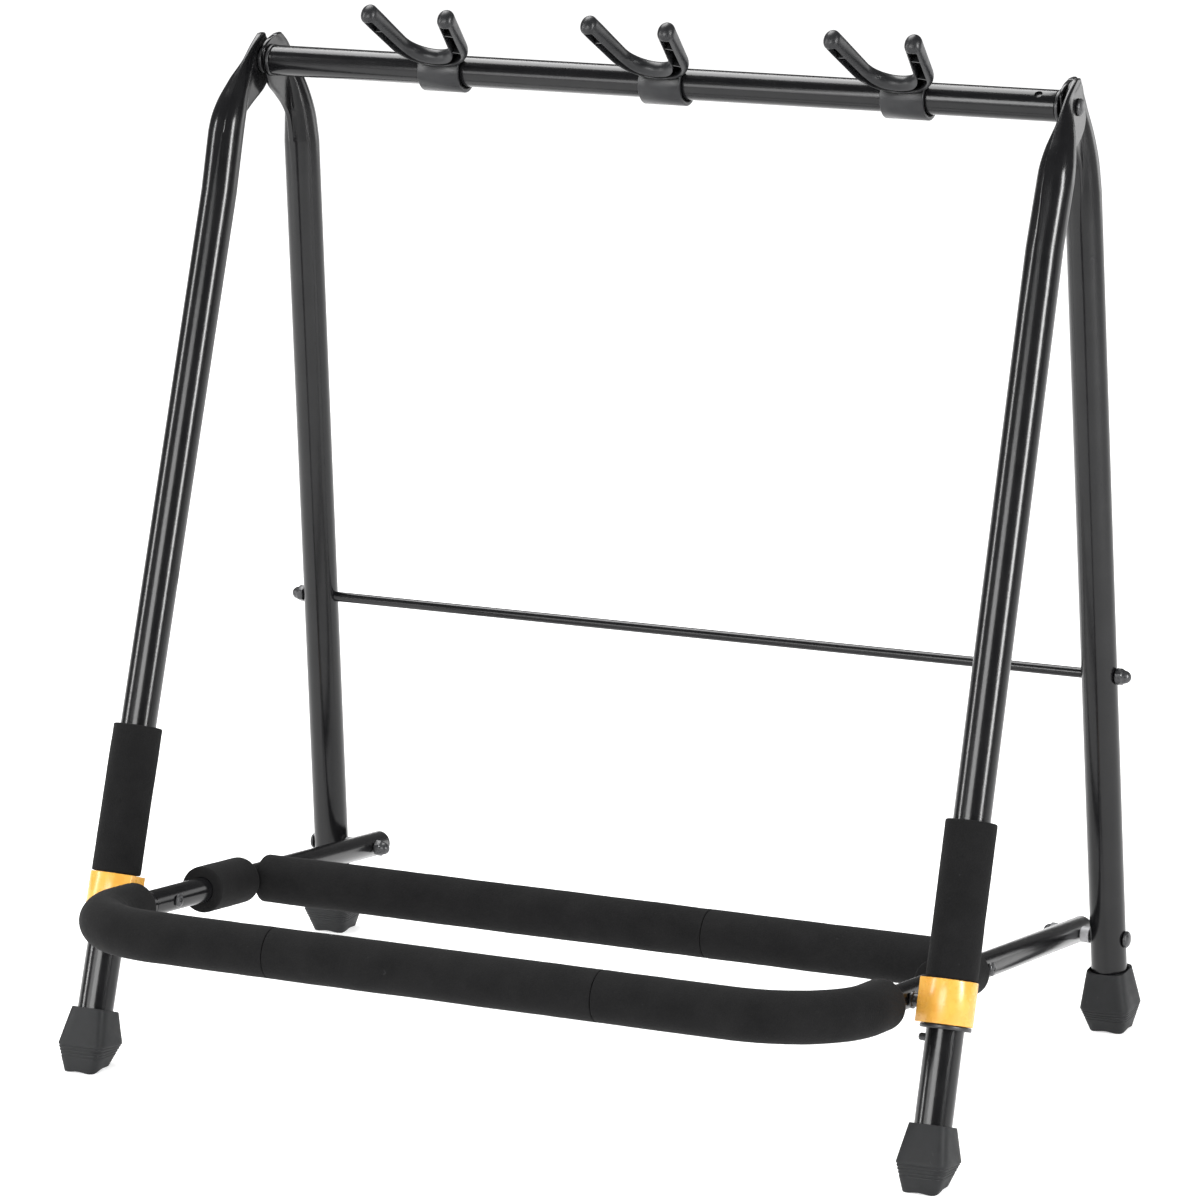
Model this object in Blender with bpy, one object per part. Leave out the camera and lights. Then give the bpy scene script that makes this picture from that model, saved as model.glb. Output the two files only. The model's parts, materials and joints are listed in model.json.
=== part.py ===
"""Folding three-place guitar rack. Metres, +Z up, -Y is the front.

The origin is on the floor, under the middle of the rack. Two rear legs, the top
bar and the brace rod make the fixed frame. The front legs fold back about the
ends of the top bar, and the padded cradle folds up about two bolts low on the
rear legs. A "u" value is a distance along the cradle rails, forward from those
bolts, and an "s" value is a distance down a leg from the height of the top bar.
"""
import bpy
import bmesh
from math import atan2
from math import cos
from math import pi
from math import radians
from math import sin
from mathutils import Vector

# Driving dimensions, in metres
PIVOT_Y = 0.1266          # top bar axis, the hinge line of the front legs
PIVOT_Z = 0.586
GAP = 0.0003              # clearance between pieces that touch

LEG_RADIUS = 0.0111       # 22.2 mm tube
BAR_RADIUS = 0.0095       # 19 mm tube
RAIL_RADIUS = 0.0079      # 15.9 mm tube
ROD_RADIUS = 0.0032
WALL = 0.0012

# A leg axis is straight; x and y are given at pivot height and at the floor, from the bar axis
FRONT_LEG = {"top": (0.2738, -0.0271), "floor": (0.2780, -0.2507)}
REAR_LEG = {"top": (0.2629, 0.0310), "floor": (0.2726, 0.0616)}
PLATE_HALF_THICKNESS = 0.0016
REAR_PLATE_X = 0.2662
FRONT_PLATE_X = 0.2724
# A leg's top is pressed flat on the side of the other leg and cut to a slant.
# Each level holds: height from the hinge; inner and outer edge, measured from the hinge
# outwards; half width and half thickness of the part that stays round
FRONT_NECK = (
    (-0.0380, 0.0297, 0.0535, 0.0119, 0.0111), (-0.0310, 0.0240, 0.0504, 0.0117, 0.0108),
    (-0.0250, 0.0130, 0.0468, 0.0113, 0.0101), (-0.0185, -0.0015, 0.0420, 0.0105, 0.0088),
    (-0.0120, -0.0085, 0.0360, 0.0095, 0.0070), (-0.0050, -0.0110, 0.0295, 0.0080, 0.0047),
    (0.0015, -0.0112, 0.0230, 0.0070, 0.0026), (0.0075, -0.0100, 0.0160, 0.0060, 0.0016),
    (0.0120, -0.0075, 0.0095, 0.0060, 0.0016), (0.0161, -0.0036, 0.0022, 0.0060, 0.0016),
)
REAR_NECK = (
    (-0.0560, 0.0228, 0.0450, 0.0111, 0.0111), (-0.0410, 0.0206, 0.0440, 0.0107, 0.0098),
    (-0.0320, 0.0155, 0.0422, 0.0100, 0.0087), (-0.0230, 0.0060, 0.0395, 0.0090, 0.0072),
    (-0.0160, -0.0025, 0.0367, 0.0080, 0.0058), (-0.0080, -0.0062, 0.0332, 0.0070, 0.0038),
    (0.0000, -0.0078, 0.0290, 0.0060, 0.0022), (0.0080, -0.0090, 0.0235, 0.0060, 0.0016),
    (0.0128, -0.0030, 0.0180, 0.0060, 0.0016), (0.0150, 0.0070, 0.0145, 0.0060, 0.0016),
)
FRONT_NECK_SPREAD = 0.0015  # the front neck's round part stands this much further out
BORE_TOP = 0.085          # the tube bore ends below the flattened neck
ROUND_TOP = 0.080         # below this a leg is plain round tube
TUBE_END_RISE = 0.008     # from a tube end to the floor, inside its foot

BAR_HALF_LENGTH = 0.2620
BAR_HOLE = (0.251, 0.0025)  # x and radius of the locating hole
PLUG_DEPTH = 0.016
PLUG_LIP = 0.0005         # a plug's ring stands this much proud of the bar
PIVOT_BOLT_RADIUS = 0.0030
PIVOT_BOLT_DEPTH = 0.014  # screwed this far into the bar's plug
WASHER_RADIUS = 0.0085
BOLT_RADIUS = 0.0026      # cradle bolts and the threaded ends of the brace rod
ROD_S = 0.3575

# Radius and height of each domed head
PIVOT_HEAD = (0.0052, 0.0028)
CRADLE_HEAD = (0.0052, 0.0031)
CROSS_HEAD = (0.0042, 0.0026)
JOIN_HEAD = (0.0040, 0.0024)
CROSS_SCREW_RADIUS = 0.0021
JOIN_SCREW_RADIUS = 0.0019
NUT_HALF_WIDTH = 0.0048
NUT_HEIGHT = 0.0092
NUT_BORE_DEPTH = 0.0068

RAIL_X = 0.2464
RAIL_PITCH = radians(8.34)
RAIL_HINGE = (0.0585, 0.0594)  # y from the bar axis, and z, of the cradle hinge
RAIL_REAR_U = -0.018
RAIL_FRONT_U = 0.285
SPIGOT_END_U = 0.248
SPIGOT_RADIUS = 0.0064
FRONT_BAR_U = 0.3806
REAR_BAR_U = 0.1516
CORNER_RADIUS = 0.060
JOIN_SCREW_U = 0.261
STUD_U = 0.274
STUD_RADIUS = 0.0025
STUD_FLANGE = (0.0052, 0.0014)  # radius and thickness
STUD_HEAD = (0.0040, 0.0056)
STUD_SOCKET = 0.0008      # depth of the stud's seat in the rail
SPACER_RADIUS = 0.0050
INSERT_DEPTH = 0.012

FOAM_BORE = RAIL_RADIUS + GAP
FRONT_FOAM_RADIUS = 0.0153
REAR_FOAM_RADIUS = 0.0151
SLEEVE_RADIUS = 0.0144
CORNER_FOAM_U = 0.299
FRONT_SEAM_X = 0.1065
REAR_SEAM_X = 0.0705
SLEEVE_U = (0.1685, 0.218)

GRIP_RADIUS = 0.0152
GRIP_S = (0.415, 0.5066)
COLLAR_S = (0.5070, 0.5330)
RIM_S = (0.5333, 0.5357)
COLLAR_RADIUS = 0.0157
COLLAR_NOSE = (0.0164, 0.0086)  # distance of its flat towards the rail, and half its width
COLLAR_ROUND = radians(122)  # half the angle of its round back
RIM_RADIUS = 0.0151
LOCK_SLEEVE_RADIUS = 0.0124
STOP_PIN_S = 0.5412
STOP_PIN_RADIUS = 0.0023
STOP_PIN_REACH = (0.0088, 0.0156)  # from the leg's axis to the pin's two ends

FOOT_TOP_RISE = (0.0365, 0.0392)  # front and rear foot height along the leg
FOOT_TOP_HALF = 0.0124
FOOT_WIDE_HALF = 0.0160
FOOT_SOLE_HALF = 0.0112
FOOT_WIDE_RISE = 0.0155

YOKE_X = (-0.142, 0.008, 0.1665)
HOOK_TILT = radians(37)
HOOK_BASE = 0.0160        # bar axis to the middle of the hook
HOOK_RADIUS = 0.0205
HOOK_ARM_LEAN = radians(9)
HOOK_ARM_STOPS = (0.0105, 0.0210, 0.0338)  # distances along an arm to its sections
HOOK_HALF_WIDTH = 0.0053
HOOK_HALF_DEPTH = 0.0062
HOOK_GROWTH = (0.14, -0.18)  # change in width and in depth from an arm to the root
TIP_ROUNDING = ((0.0052, 0.55), (0.0036, 0.86))
POCKET_HALF_WIDTH = 0.0033
RIB_HALF = 0.0006
POCKETS = ((0, 1), (1, 3), (3, 5), (9, 11), (11, 13), (13, 14))  # first and last section of each
CLIP_HALF_WIDTH = 0.0140
CLIP_THICKNESS = 0.0034

LEG_SEGMENTS = 20
TUBE_SEGMENTS = 16
SMALL_SEGMENTS = 12
HOOK_SEGMENTS = 10

X_AXIS = Vector((1, 0, 0))
Y_AXIS = Vector((0, 1, 0))
Z_AXIS = Vector((0, 0, 1))
PIVOT = Vector((0, PIVOT_Y, PIVOT_Z))
HINGE = Vector((0, PIVOT_Y + RAIL_HINGE[0], RAIL_HINGE[1]))
HINGE_LEG_X = REAR_LEG["floor"][0] + (REAR_LEG["top"][0] - REAR_LEG["floor"][0]) * HINGE.z / PIVOT_Z
RAIL_FORWARD = Vector((0, -cos(RAIL_PITCH), sin(RAIL_PITCH)))
SIDES = (("left", -1), ("right", 1))

MATERIALS = {
    "black_steel": ((0.012, 0.012, 0.013, 1), 0.32, 0.0),
    "black_zinc": ((0.016, 0.016, 0.017, 1), 0.35, 1.0),
    "black_foam": ((0.010, 0.010, 0.011, 1), 0.95, 0.0),
    "yellow_plastic": ((0.85, 0.52, 0.07, 1), 0.35, 0.0),
    "grey_plastic": ((0.045, 0.046, 0.05, 1), 0.5, 0.0),
    "black_plastic": ((0.015, 0.015, 0.016, 1), 0.5, 0.0),
    "black_rubber": ((0.035, 0.036, 0.038, 1), 0.65, 0.0),
}


def clear_scene():
    """Remove what the start file holds."""
    for obj in list(bpy.data.objects):
        bpy.data.objects.remove(obj, do_unlink=True)


def material(name):
    """The named Principled material, made on first use."""
    found = bpy.data.materials.get(name)
    if found:
        return found
    made = bpy.data.materials.new(name)
    made.use_nodes = True
    color, roughness, metallic = MATERIALS[name]
    shader = made.node_tree.nodes["Principled BSDF"]
    shader.inputs["Base Color"].default_value = color
    shader.inputs["Roughness"].default_value = roughness
    shader.inputs["Metallic"].default_value = metallic
    return made


def loft(name, rings, material_name, loop=False):
    """One closed body through rings of equal point counts.

    With loop the last ring joins the first; without it both ends get a cap.
    """
    bm = bmesh.new()
    loops = [[bm.verts.new(point) for point in ring] for ring in rings]
    pairs = list(zip(loops, loops[1:]))
    if loop:
        pairs.append((loops[-1], loops[0]))
    count = len(loops[0])
    for lower, upper in pairs:
        for i in range(count):
            j = (i + 1) % count
            bm.faces.new((lower[i], lower[j], upper[j], upper[i]))
    if not loop:
        bm.faces.new(list(reversed(loops[0])))
        bm.faces.new(loops[-1])
    bmesh.ops.recalc_face_normals(bm, faces=bm.faces)
    mesh = bpy.data.meshes.new(name)
    bm.to_mesh(mesh)
    bm.free()
    mesh.shade_smooth()
    mesh.set_sharp_from_angle(angle=radians(38))
    mesh.materials.append(material(material_name))
    obj = bpy.data.objects.new(name, mesh)
    bpy.context.scene.collection.objects.link(obj)
    return obj


def boolean(obj, other, operation):
    """Cut or join with a guide shape, which is hidden and left out."""
    modifier = obj.modifiers.new(operation.lower() + "_" + other.name, "BOOLEAN")
    modifier.operation = operation
    modifier.solver = "EXACT"
    modifier.object = other
    other.hide_render = True
    other.display_type = "WIRE"


def across(axis):
    """Two unit vectors square to an axis, the first as level as it can be."""
    side = axis.cross(Z_AXIS)
    if side.length < 0.1:
        side = X_AXIS - axis * axis.dot(X_AXIS)
    side.normalize()
    return side, side.cross(axis).normalized()


def circle(center, axis, radius, segments):
    """Points of a circle square to an axis."""
    a, b = across(axis)
    turns = [2 * pi * (i + 0.5) / segments for i in range(segments)]
    return [center + a * radius * cos(t) + b * radius * sin(t) for t in turns]


def turned(name, origin, axis, profile, material_name, segments=SMALL_SEGMENTS, loop=False):
    """A turned piece: profile holds (radius, distance along the axis)."""
    rings = [circle(origin + axis * along, axis, radius, segments) for radius, along in profile]
    return loft(name, rings, material_name, loop)


def bush(name, origin, axis, outer, inner, start, end, material_name, segments=SMALL_SEGMENTS):
    """A plain ring or tube between two distances along an axis."""
    profile = [(inner, start), (outer, start), (outer, end), (inner, end)]
    return turned(name, origin, axis, profile, material_name, segments, loop=True)


def drill(obj, center, axis, radius, half_length):
    """Cut a round hole through an object."""
    profile = [(radius, -half_length), (radius, half_length)]
    name = obj.name + "_hole_" + str(len(obj.modifiers))
    cutter = turned(name, center, axis, profile, "black_steel", SMALL_SEGMENTS)
    boolean(obj, cutter, "DIFFERENCE")


def leg_axis(leg, side):
    """A leg's axis: its point at pivot height and the unit vector down it."""
    top = Vector((side * leg["top"][0], PIVOT_Y + leg["top"][1], PIVOT_Z))
    floor = Vector((side * leg["floor"][0], PIVOT_Y + leg["floor"][1], 0))
    return top, (floor - top).normalized()


def leg_length(leg):
    """Length of a leg's axis from pivot height to the floor."""
    top = Vector((leg["top"][0], leg["top"][1], PIVOT_Z))
    floor = Vector((leg["floor"][0], leg["floor"][1], 0))
    return (floor - top).length


def leg_point(leg, side, s):
    """Point on a leg's axis at distance s below pivot height."""
    top, down = leg_axis(leg, side)
    return top + down * s


def tube_ring(center, way, radius):
    """Round section of a leg, with the same point order as a neck section."""
    across_leg = way.cross(X_AXIS).normalized()
    beside = across_leg.cross(way).normalized()
    turns = [2 * pi * (i + 0.5) / LEG_SEGMENTS for i in range(LEG_SEGMENTS)]
    return [center + beside * radius * cos(t) + across_leg * radius * sin(t) for t in turns]


def neck_ring(level, outward, plate_x, tube_x, spread):
    """Level section of a neck: a thin plate that runs into what is left of the round tube."""
    rise, inner, outer, lobe_width, lobe_depth = level
    share = (lobe_depth - PLATE_HALF_THICKNESS) / (LEG_RADIUS - PLATE_HALF_THICKNESS)
    lobe_x = plate_x + (tube_x - plate_x) * share + spread * min(1, 2.5 * share)
    middle = (inner + outer) / 2
    half = (outer - inner) / 2
    ring = []
    for i in range(LEG_SEGMENTS):
        turn = 2 * pi * (i + 0.5) / LEG_SEGMENTS
        v = middle - outward * half * sin(turn)
        face = 1 if cos(turn) > 0 else -1
        plate = PLATE_HALF_THICKNESS * (1 - abs(sin(turn)) ** 8) ** 0.5
        beyond = 1 - ((v - outer + lobe_width) / lobe_width) ** 2
        lobe = lobe_depth * max(0, beyond) ** 0.5
        x = face * max(face * plate_x + plate, face * lobe_x + lobe)
        ring.append(Vector((x, PIVOT_Y + outward * v, PIVOT_Z + rise)))
    return ring


def make_leg(name, leg, side, plate_x, neck, spread=0.0):
    """Tube with an open bore below and a neck pressed to a plate above."""
    top, down = leg_axis(leg, side)
    end_s = leg_length(leg) - TUBE_END_RISE
    rings = [tube_ring(top + down * s, down, LEG_RADIUS - WALL) for s in (BORE_TOP, end_s)]
    for s in (end_s, ROUND_TOP):
        rings.append(tube_ring(top + down * s, down, LEG_RADIUS))
    outward = 1 if leg["top"][1] > 0 else -1
    for level in neck:
        tube_x = side * leg["top"][0] - level[0] * down.x
        rings.append(neck_ring(level, outward, side * plate_x, tube_x, side * spread))
    obj = loft(name, rings, "black_steel")
    drill(obj, PIVOT + X_AXIS * side * plate_x, X_AXIS, PIVOT_BOLT_RADIUS + GAP, 4 * PLATE_HALF_THICKNESS)
    return obj


def rail_point(side, u):
    """Point on a cradle rail's axis."""
    return HINGE + X_AXIS * side * RAIL_X + RAIL_FORWARD * u


def make_frame():
    """Rear legs, top bar and its plugs, hinge bolts and the brace rod."""
    bar = bush(
        "top_bar", PIVOT, X_AXIS, BAR_RADIUS, BAR_RADIUS - WALL,
        -BAR_HALF_LENGTH, BAR_HALF_LENGTH, "black_steel", TUBE_SEGMENTS,
    )
    hole_way = Vector((0, -cos(radians(52)), sin(radians(52))))
    hole_center = PIVOT + X_AXIS * BAR_HOLE[0] + hole_way * BAR_RADIUS
    drill(bar, hole_center, hole_way, BAR_HOLE[1], 2 * WALL)
    bolt_bore = PIVOT_BOLT_RADIUS + GAP
    inside = BAR_RADIUS - WALL - GAP
    plug_start = BAR_HALF_LENGTH - PLUG_DEPTH
    lip_start = BAR_HALF_LENGTH + GAP
    lip_end = REAR_PLATE_X - PLATE_HALF_THICKNESS - GAP
    washer_start = REAR_PLATE_X + PLATE_HALF_THICKNESS + GAP
    washer_end = FRONT_PLATE_X - PLATE_HALF_THICKNESS - GAP
    head_face = FRONT_PLATE_X + PLATE_HALF_THICKNESS + GAP
    for word, side in SIDES:
        out = X_AXIS * side
        turned("bar_plug_" + word, PIVOT, out, [
            (bolt_bore, plug_start), (inside, plug_start), (inside, lip_start),
            (BAR_RADIUS + PLUG_LIP, lip_start), (BAR_RADIUS + PLUG_LIP, lip_end), (bolt_bore, lip_end),
        ], "black_plastic", TUBE_SEGMENTS, loop=True)
        leg = make_leg("rear_leg_" + word, REAR_LEG, side, REAR_PLATE_X, REAR_NECK)
        rod_center = leg_point(REAR_LEG, side, ROD_S)
        drill(leg, rod_center, X_AXIS, ROD_RADIUS + GAP, 2 * LEG_RADIUS)
        drill(leg, HINGE + out * HINGE_LEG_X, X_AXIS, BOLT_RADIUS + GAP, 2 * LEG_RADIUS)
        bush("hinge_washer_" + word, PIVOT, out, WASHER_RADIUS, bolt_bore, washer_start, washer_end,
             "black_plastic")
        screw("hinge_bolt_" + word, PIVOT, out, PIVOT_BOLT_RADIUS, BAR_HALF_LENGTH - PIVOT_BOLT_DEPTH,
              head_face, PIVOT_HEAD)
    rod_spot = leg_point(REAR_LEG, 1, ROD_S)
    rod_mid = Vector((0, rod_spot.y, rod_spot.z))
    nut_face = rod_spot.x + LEG_RADIUS + GAP
    rod_end = nut_face + NUT_BORE_DEPTH - 2 * GAP
    shoulder = nut_face - 0.001
    turned("brace_rod", rod_mid, X_AXIS, [
        (BOLT_RADIUS, -rod_end), (BOLT_RADIUS, -nut_face), (ROD_RADIUS, -shoulder),
        (ROD_RADIUS, shoulder), (BOLT_RADIUS, nut_face), (BOLT_RADIUS, rod_end),
    ], "black_steel")
    for word, side in SIDES:
        acorn_nut("brace_nut_" + word, rod_mid, X_AXIS * side, nut_face)


def screw(name, origin, axis, shank, start, face, head):
    """Screw or bolt from its tip to the top of its domed head, which starts at face."""
    radius, height = head
    turned(name, origin, axis, [
        (shank, start), (shank, face), (radius, face), (radius, face + 0.38 * height),
        (0.76 * radius, face + 0.84 * height), (0.32 * radius, face + height),
    ], "black_zinc")


def hexagon_ring(center, axis, apothem):
    """Points of a hexagon, two to each side."""
    a, b = across(axis)
    ring = []
    for i in range(SMALL_SEGMENTS):
        turn = 2 * pi * (i + 0.5) / SMALL_SEGMENTS
        bend = (turn + pi / 6) % (pi / 3) - pi / 6
        radius = apothem / cos(bend)
        ring.append(center + a * radius * cos(turn) + b * radius * sin(turn))
    return ring


def acorn_nut(name, origin, axis, face):
    """Domed hexagon nut with a blind bore that starts at its face."""
    bore = BOLT_RADIUS + GAP
    rings = [
        circle(origin + axis * (face + NUT_BORE_DEPTH), axis, bore, SMALL_SEGMENTS),
        circle(origin + axis * face, axis, bore, SMALL_SEGMENTS),
        hexagon_ring(origin + axis * face, axis, NUT_HALF_WIDTH),
        hexagon_ring(origin + axis * (face + 0.46 * NUT_HEIGHT), axis, NUT_HALF_WIDTH),
    ]
    for height, width in ((0.52, 0.9), (0.82, 0.75), (1.0, 0.33)):
        center = origin + axis * (face + height * NUT_HEIGHT)
        rings.append(circle(center, axis, width * NUT_HALF_WIDTH, SMALL_SEGMENTS))
    return loft(name, rings, "black_zinc")


def square_ring(center, a, b, half, exponent):
    """Points of a rounded square; exponent 2 is a circle."""
    ring = []
    for i in range(LEG_SEGMENTS):
        turn = 2 * pi * (i + 0.5) / LEG_SEGMENTS
        c = cos(turn)
        s = sin(turn)
        radius = half / (abs(c) ** exponent + abs(s) ** exponent) ** (1 / exponent)
        ring.append(center + a * radius * c + b * radius * s)
    return ring


def make_foot(name, leg, side, height):
    """Rubber foot: socket for the leg, widening sides and a level sole."""
    top, down = leg_axis(leg, side)
    length = leg_length(leg)
    square_y = X_AXIS.cross(down).normalized()
    square_x = down.cross(square_y).normalized()
    lean_y = (square_y + Y_AXIS).normalized()
    socket = LEG_RADIUS + GAP
    socket_end = length - TUBE_END_RISE + GAP
    floor = top + down * length
    rings = [
        square_ring(top + down * socket_end, square_x, square_y, socket, 2),
        square_ring(top + down * (length - height), square_x, square_y, socket, 2),
        square_ring(top + down * (length - height), square_x, square_y, FOOT_TOP_HALF, 4),
        square_ring(top + down * (length - FOOT_WIDE_RISE), X_AXIS, lean_y, FOOT_WIDE_HALF, 6),
        square_ring(floor, X_AXIS, Y_AXIS, FOOT_SOLE_HALF, 5),
    ]
    return loft(name, rings, "black_rubber")


def make_front_leg(word, side):
    """Front leg with its foot, stop pin and the sliding lock."""
    leg = make_leg("front_leg_" + word, FRONT_LEG, side, FRONT_PLATE_X, FRONT_NECK, FRONT_NECK_SPREAD)
    top, down = leg_axis(FRONT_LEG, side)
    inward = (X_AXIS * -side - down * down.dot(X_AXIS * -side)).normalized()
    pin_center = top + down * STOP_PIN_S
    drill(leg, pin_center + inward * LEG_RADIUS, inward, STOP_PIN_RADIUS + GAP, 3 * WALL)
    pin_start, pin_end = STOP_PIN_REACH
    turned("stop_pin_" + word, pin_center, inward, [
        (STOP_PIN_RADIUS, pin_start), (STOP_PIN_RADIUS, pin_end - 0.001), (0.0013, pin_end),
    ], "black_zinc")
    make_foot("foot_front_" + word, FRONT_LEG, side, FOOT_TOP_RISE[0])

    bore = LEG_RADIUS + GAP
    turned("lock_sleeve_" + word, top, down, [
        (bore, GRIP_S[0]), (LOCK_SLEEVE_RADIUS, GRIP_S[0]), (LOCK_SLEEVE_RADIUS, RIM_S[0]),
        (RIM_RADIUS, RIM_S[0]), (RIM_RADIUS, RIM_S[1]), (bore, RIM_S[1]),
    ], "black_plastic", TUBE_SEGMENTS, loop=True)
    inner = LOCK_SLEEVE_RADIUS + GAP
    round_edge = 0.0012
    turned("leg_grip_" + word, top, down, [
        (inner, GRIP_S[0]), (GRIP_RADIUS - round_edge, GRIP_S[0]),
        (GRIP_RADIUS, GRIP_S[0] + round_edge), (GRIP_RADIUS, GRIP_S[1] - round_edge),
        (GRIP_RADIUS - round_edge, GRIP_S[1]), (inner, GRIP_S[1]),
    ], "black_foam", TUBE_SEGMENTS, loop=True)
    make_collar(word, top, down, inward)


def make_collar(word, top, down, inward):
    """Yellow collar: round outside, drawn to a flat nose towards the rail."""
    beside = down.cross(inward).normalized()
    nose, half_nose = COLLAR_NOSE
    bevel = 0.0012
    steps = 12
    outline = []
    for i in range(steps + 1):
        turn = COLLAR_ROUND * (2 * i / steps - 1)
        outline.append((-COLLAR_RADIUS * cos(turn), COLLAR_RADIUS * sin(turn)))
    outline.append((nose - bevel, half_nose))
    outline.append((nose, half_nose - bevel))
    outline.append((nose, 0))
    outline.append((nose, bevel - half_nose))
    outline.append((nose - bevel, -half_nose))
    inner = LOCK_SLEEVE_RADIUS + GAP
    bore = []
    for a, b in outline:
        turn = atan2(b, a)
        bore.append((inner * cos(turn), inner * sin(turn)))

    def placed(points, s):
        return [top + down * s + inward * a + beside * b for a, b in points]

    rings = [
        placed(bore, COLLAR_S[0]), placed(outline, COLLAR_S[0]),
        placed(outline, COLLAR_S[1]), placed(bore, COLLAR_S[1]),
    ]
    loft("lock_collar_" + word, rings, "yellow_plastic", loop=True)


def cradle_path(start_u, end_x=None):
    """Points and tangents from the right rail, round the corner and along the front bar.

    Without end_x the path stops where the straight front bar starts.
    """
    path = [(rail_point(1, start_u), RAIL_FORWARD.copy())]
    center = rail_point(1, FRONT_BAR_U - CORNER_RADIUS) - X_AXIS * CORNER_RADIUS
    steps = 7
    for i in range(steps + 1):
        turn = pi / 2 * i / steps
        spot = center + (X_AXIS * cos(turn) + RAIL_FORWARD * sin(turn)) * CORNER_RADIUS
        path.append((spot, RAIL_FORWARD * cos(turn) - X_AXIS * sin(turn)))
    if end_x is not None:
        middle = HINGE + RAIL_FORWARD * FRONT_BAR_U
        path.append((middle + X_AXIS * end_x, -X_AXIS))
    return path


def mirrored(path):
    """The same path on the left, run the other way."""
    flipped = []
    for spot, way in reversed(path):
        flipped.append((Vector((-spot.x, spot.y, spot.z)), Vector((way.x, -way.y, -way.z))))
    return flipped


def path_ring(spot, way, radius, segments):
    """Circle square to a path that lies in the cradle's plane."""
    up = RAIL_FORWARD.cross(X_AXIS) * -1
    beside = up.cross(way).normalized()
    turns = [2 * pi * (i + 0.5) / segments for i in range(segments)]
    return [spot + beside * radius * cos(t) + up * radius * sin(t) for t in turns]


def pipe(name, path, outer, inner, material_name, segments=TUBE_SEGMENTS):
    """Open tube along a path, with one outer and one inner radius for each point."""
    rings = [path_ring(spot, way, r, segments) for (spot, way), r in zip(path, outer)]
    back = [path_ring(spot, way, r, segments) for (spot, way), r in zip(path, inner)]
    return loft(name, rings + list(reversed(back)), material_name, loop=True)


def foam_pipe(name, path, radius):
    """Foam along a path, with softly rounded ends."""
    round_edge = 0.0016
    first, first_way = path[0]
    last, last_way = path[-1]
    inset_first = (first + first_way * round_edge, first_way)
    inset_last = (last - last_way * round_edge, last_way)
    full = [path[0], inset_first] + path[1:-1] + [inset_last, path[-1]]
    outer = [radius] * len(full)
    outer[0] = radius - round_edge
    outer[-1] = radius - round_edge
    return pipe(name, full, outer, [FOAM_BORE] * len(full), "black_foam")


def make_cradle():
    """Front tube, rails, cross tube, their foam and fasteners."""
    right = cradle_path(RAIL_FRONT_U + GAP)
    spigot = [(rail_point(1, SPIGOT_END_U), RAIL_FORWARD), (rail_point(1, RAIL_FRONT_U), RAIL_FORWARD)]
    half = spigot + right
    path = half + mirrored(half)
    ends = [SPIGOT_RADIUS] * len(spigot)
    plain = [RAIL_RADIUS] * (len(path) - 2 * len(spigot))
    front = pipe("cradle_front_tube", path, ends + plain + ends, [SPIGOT_RADIUS - WALL] * len(path),
                 "black_steel")

    for word, side in SIDES:
        rail = bush(
            "cradle_rail_" + word, rail_point(side, 0), RAIL_FORWARD, RAIL_RADIUS,
            RAIL_RADIUS - WALL, RAIL_REAR_U, RAIL_FRONT_U, "black_steel", TUBE_SEGMENTS,
        )
        through = 1.5 * RAIL_RADIUS
        drill(rail, rail_point(side, 0), X_AXIS, BOLT_RADIUS + GAP, through)
        drill(rail, rail_point(side, REAR_BAR_U), X_AXIS, CROSS_SCREW_RADIUS + GAP, through)
        join = rail_point(side, JOIN_SCREW_U)
        inward = X_AXIS * -side
        drill(rail, join + inward * RAIL_RADIUS, X_AXIS, JOIN_SCREW_RADIUS + GAP, 3 * WALL)
        drill(front, join + inward * SPIGOT_RADIUS, X_AXIS, JOIN_SCREW_RADIUS + GAP, 2 * WALL)
        stud = rail_point(side, STUD_U)
        drill(rail, stud - inward * RAIL_RADIUS, X_AXIS, STUD_RADIUS + GAP, 2 * STUD_SOCKET)
        make_rail_fittings(word, side)
        inside = RAIL_RADIUS - WALL - GAP
        end = -RAIL_REAR_U
        turned("rail_plug_" + word, rail_point(side, 0), RAIL_FORWARD * -1, [
            (inside, end - PLUG_DEPTH / 2), (inside, end + GAP), (RAIL_RADIUS, end + GAP),
            (RAIL_RADIUS, end + 0.0016), (RAIL_RADIUS - 0.0016, end + 0.0030),
        ], "grey_plastic", TUBE_SEGMENTS)
        foam = [(rail_point(side, u), RAIL_FORWARD) for u in SLEEVE_U]
        foam_pipe("rail_foam_" + word, foam, SLEEVE_RADIUS)

    corner = cradle_path(CORNER_FOAM_U, FRONT_SEAM_X + GAP / 2)
    foam_pipe("corner_foam_right", corner, FRONT_FOAM_RADIUS)
    foam_pipe("corner_foam_left", mirrored(corner), FRONT_FOAM_RADIUS)
    straight_foam("front_foam", FRONT_BAR_U, -FRONT_SEAM_X + GAP / 2, FRONT_SEAM_X - GAP / 2,
                  FRONT_FOAM_RADIUS)

    middle = HINGE + RAIL_FORWARD * REAR_BAR_U
    tube_end = RAIL_X - RAIL_RADIUS - GAP
    foam_end = tube_end - GAP
    bush("cross_tube", middle, X_AXIS, RAIL_RADIUS, RAIL_RADIUS - WALL, -tube_end, tube_end,
         "black_steel", TUBE_SEGMENTS)
    straight_foam("rear_foam_left", REAR_BAR_U, -foam_end, REAR_SEAM_X - GAP / 2, REAR_FOAM_RADIUS)
    straight_foam("rear_foam_right", REAR_BAR_U, REAR_SEAM_X + GAP / 2, foam_end, REAR_FOAM_RADIUS)


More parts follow.
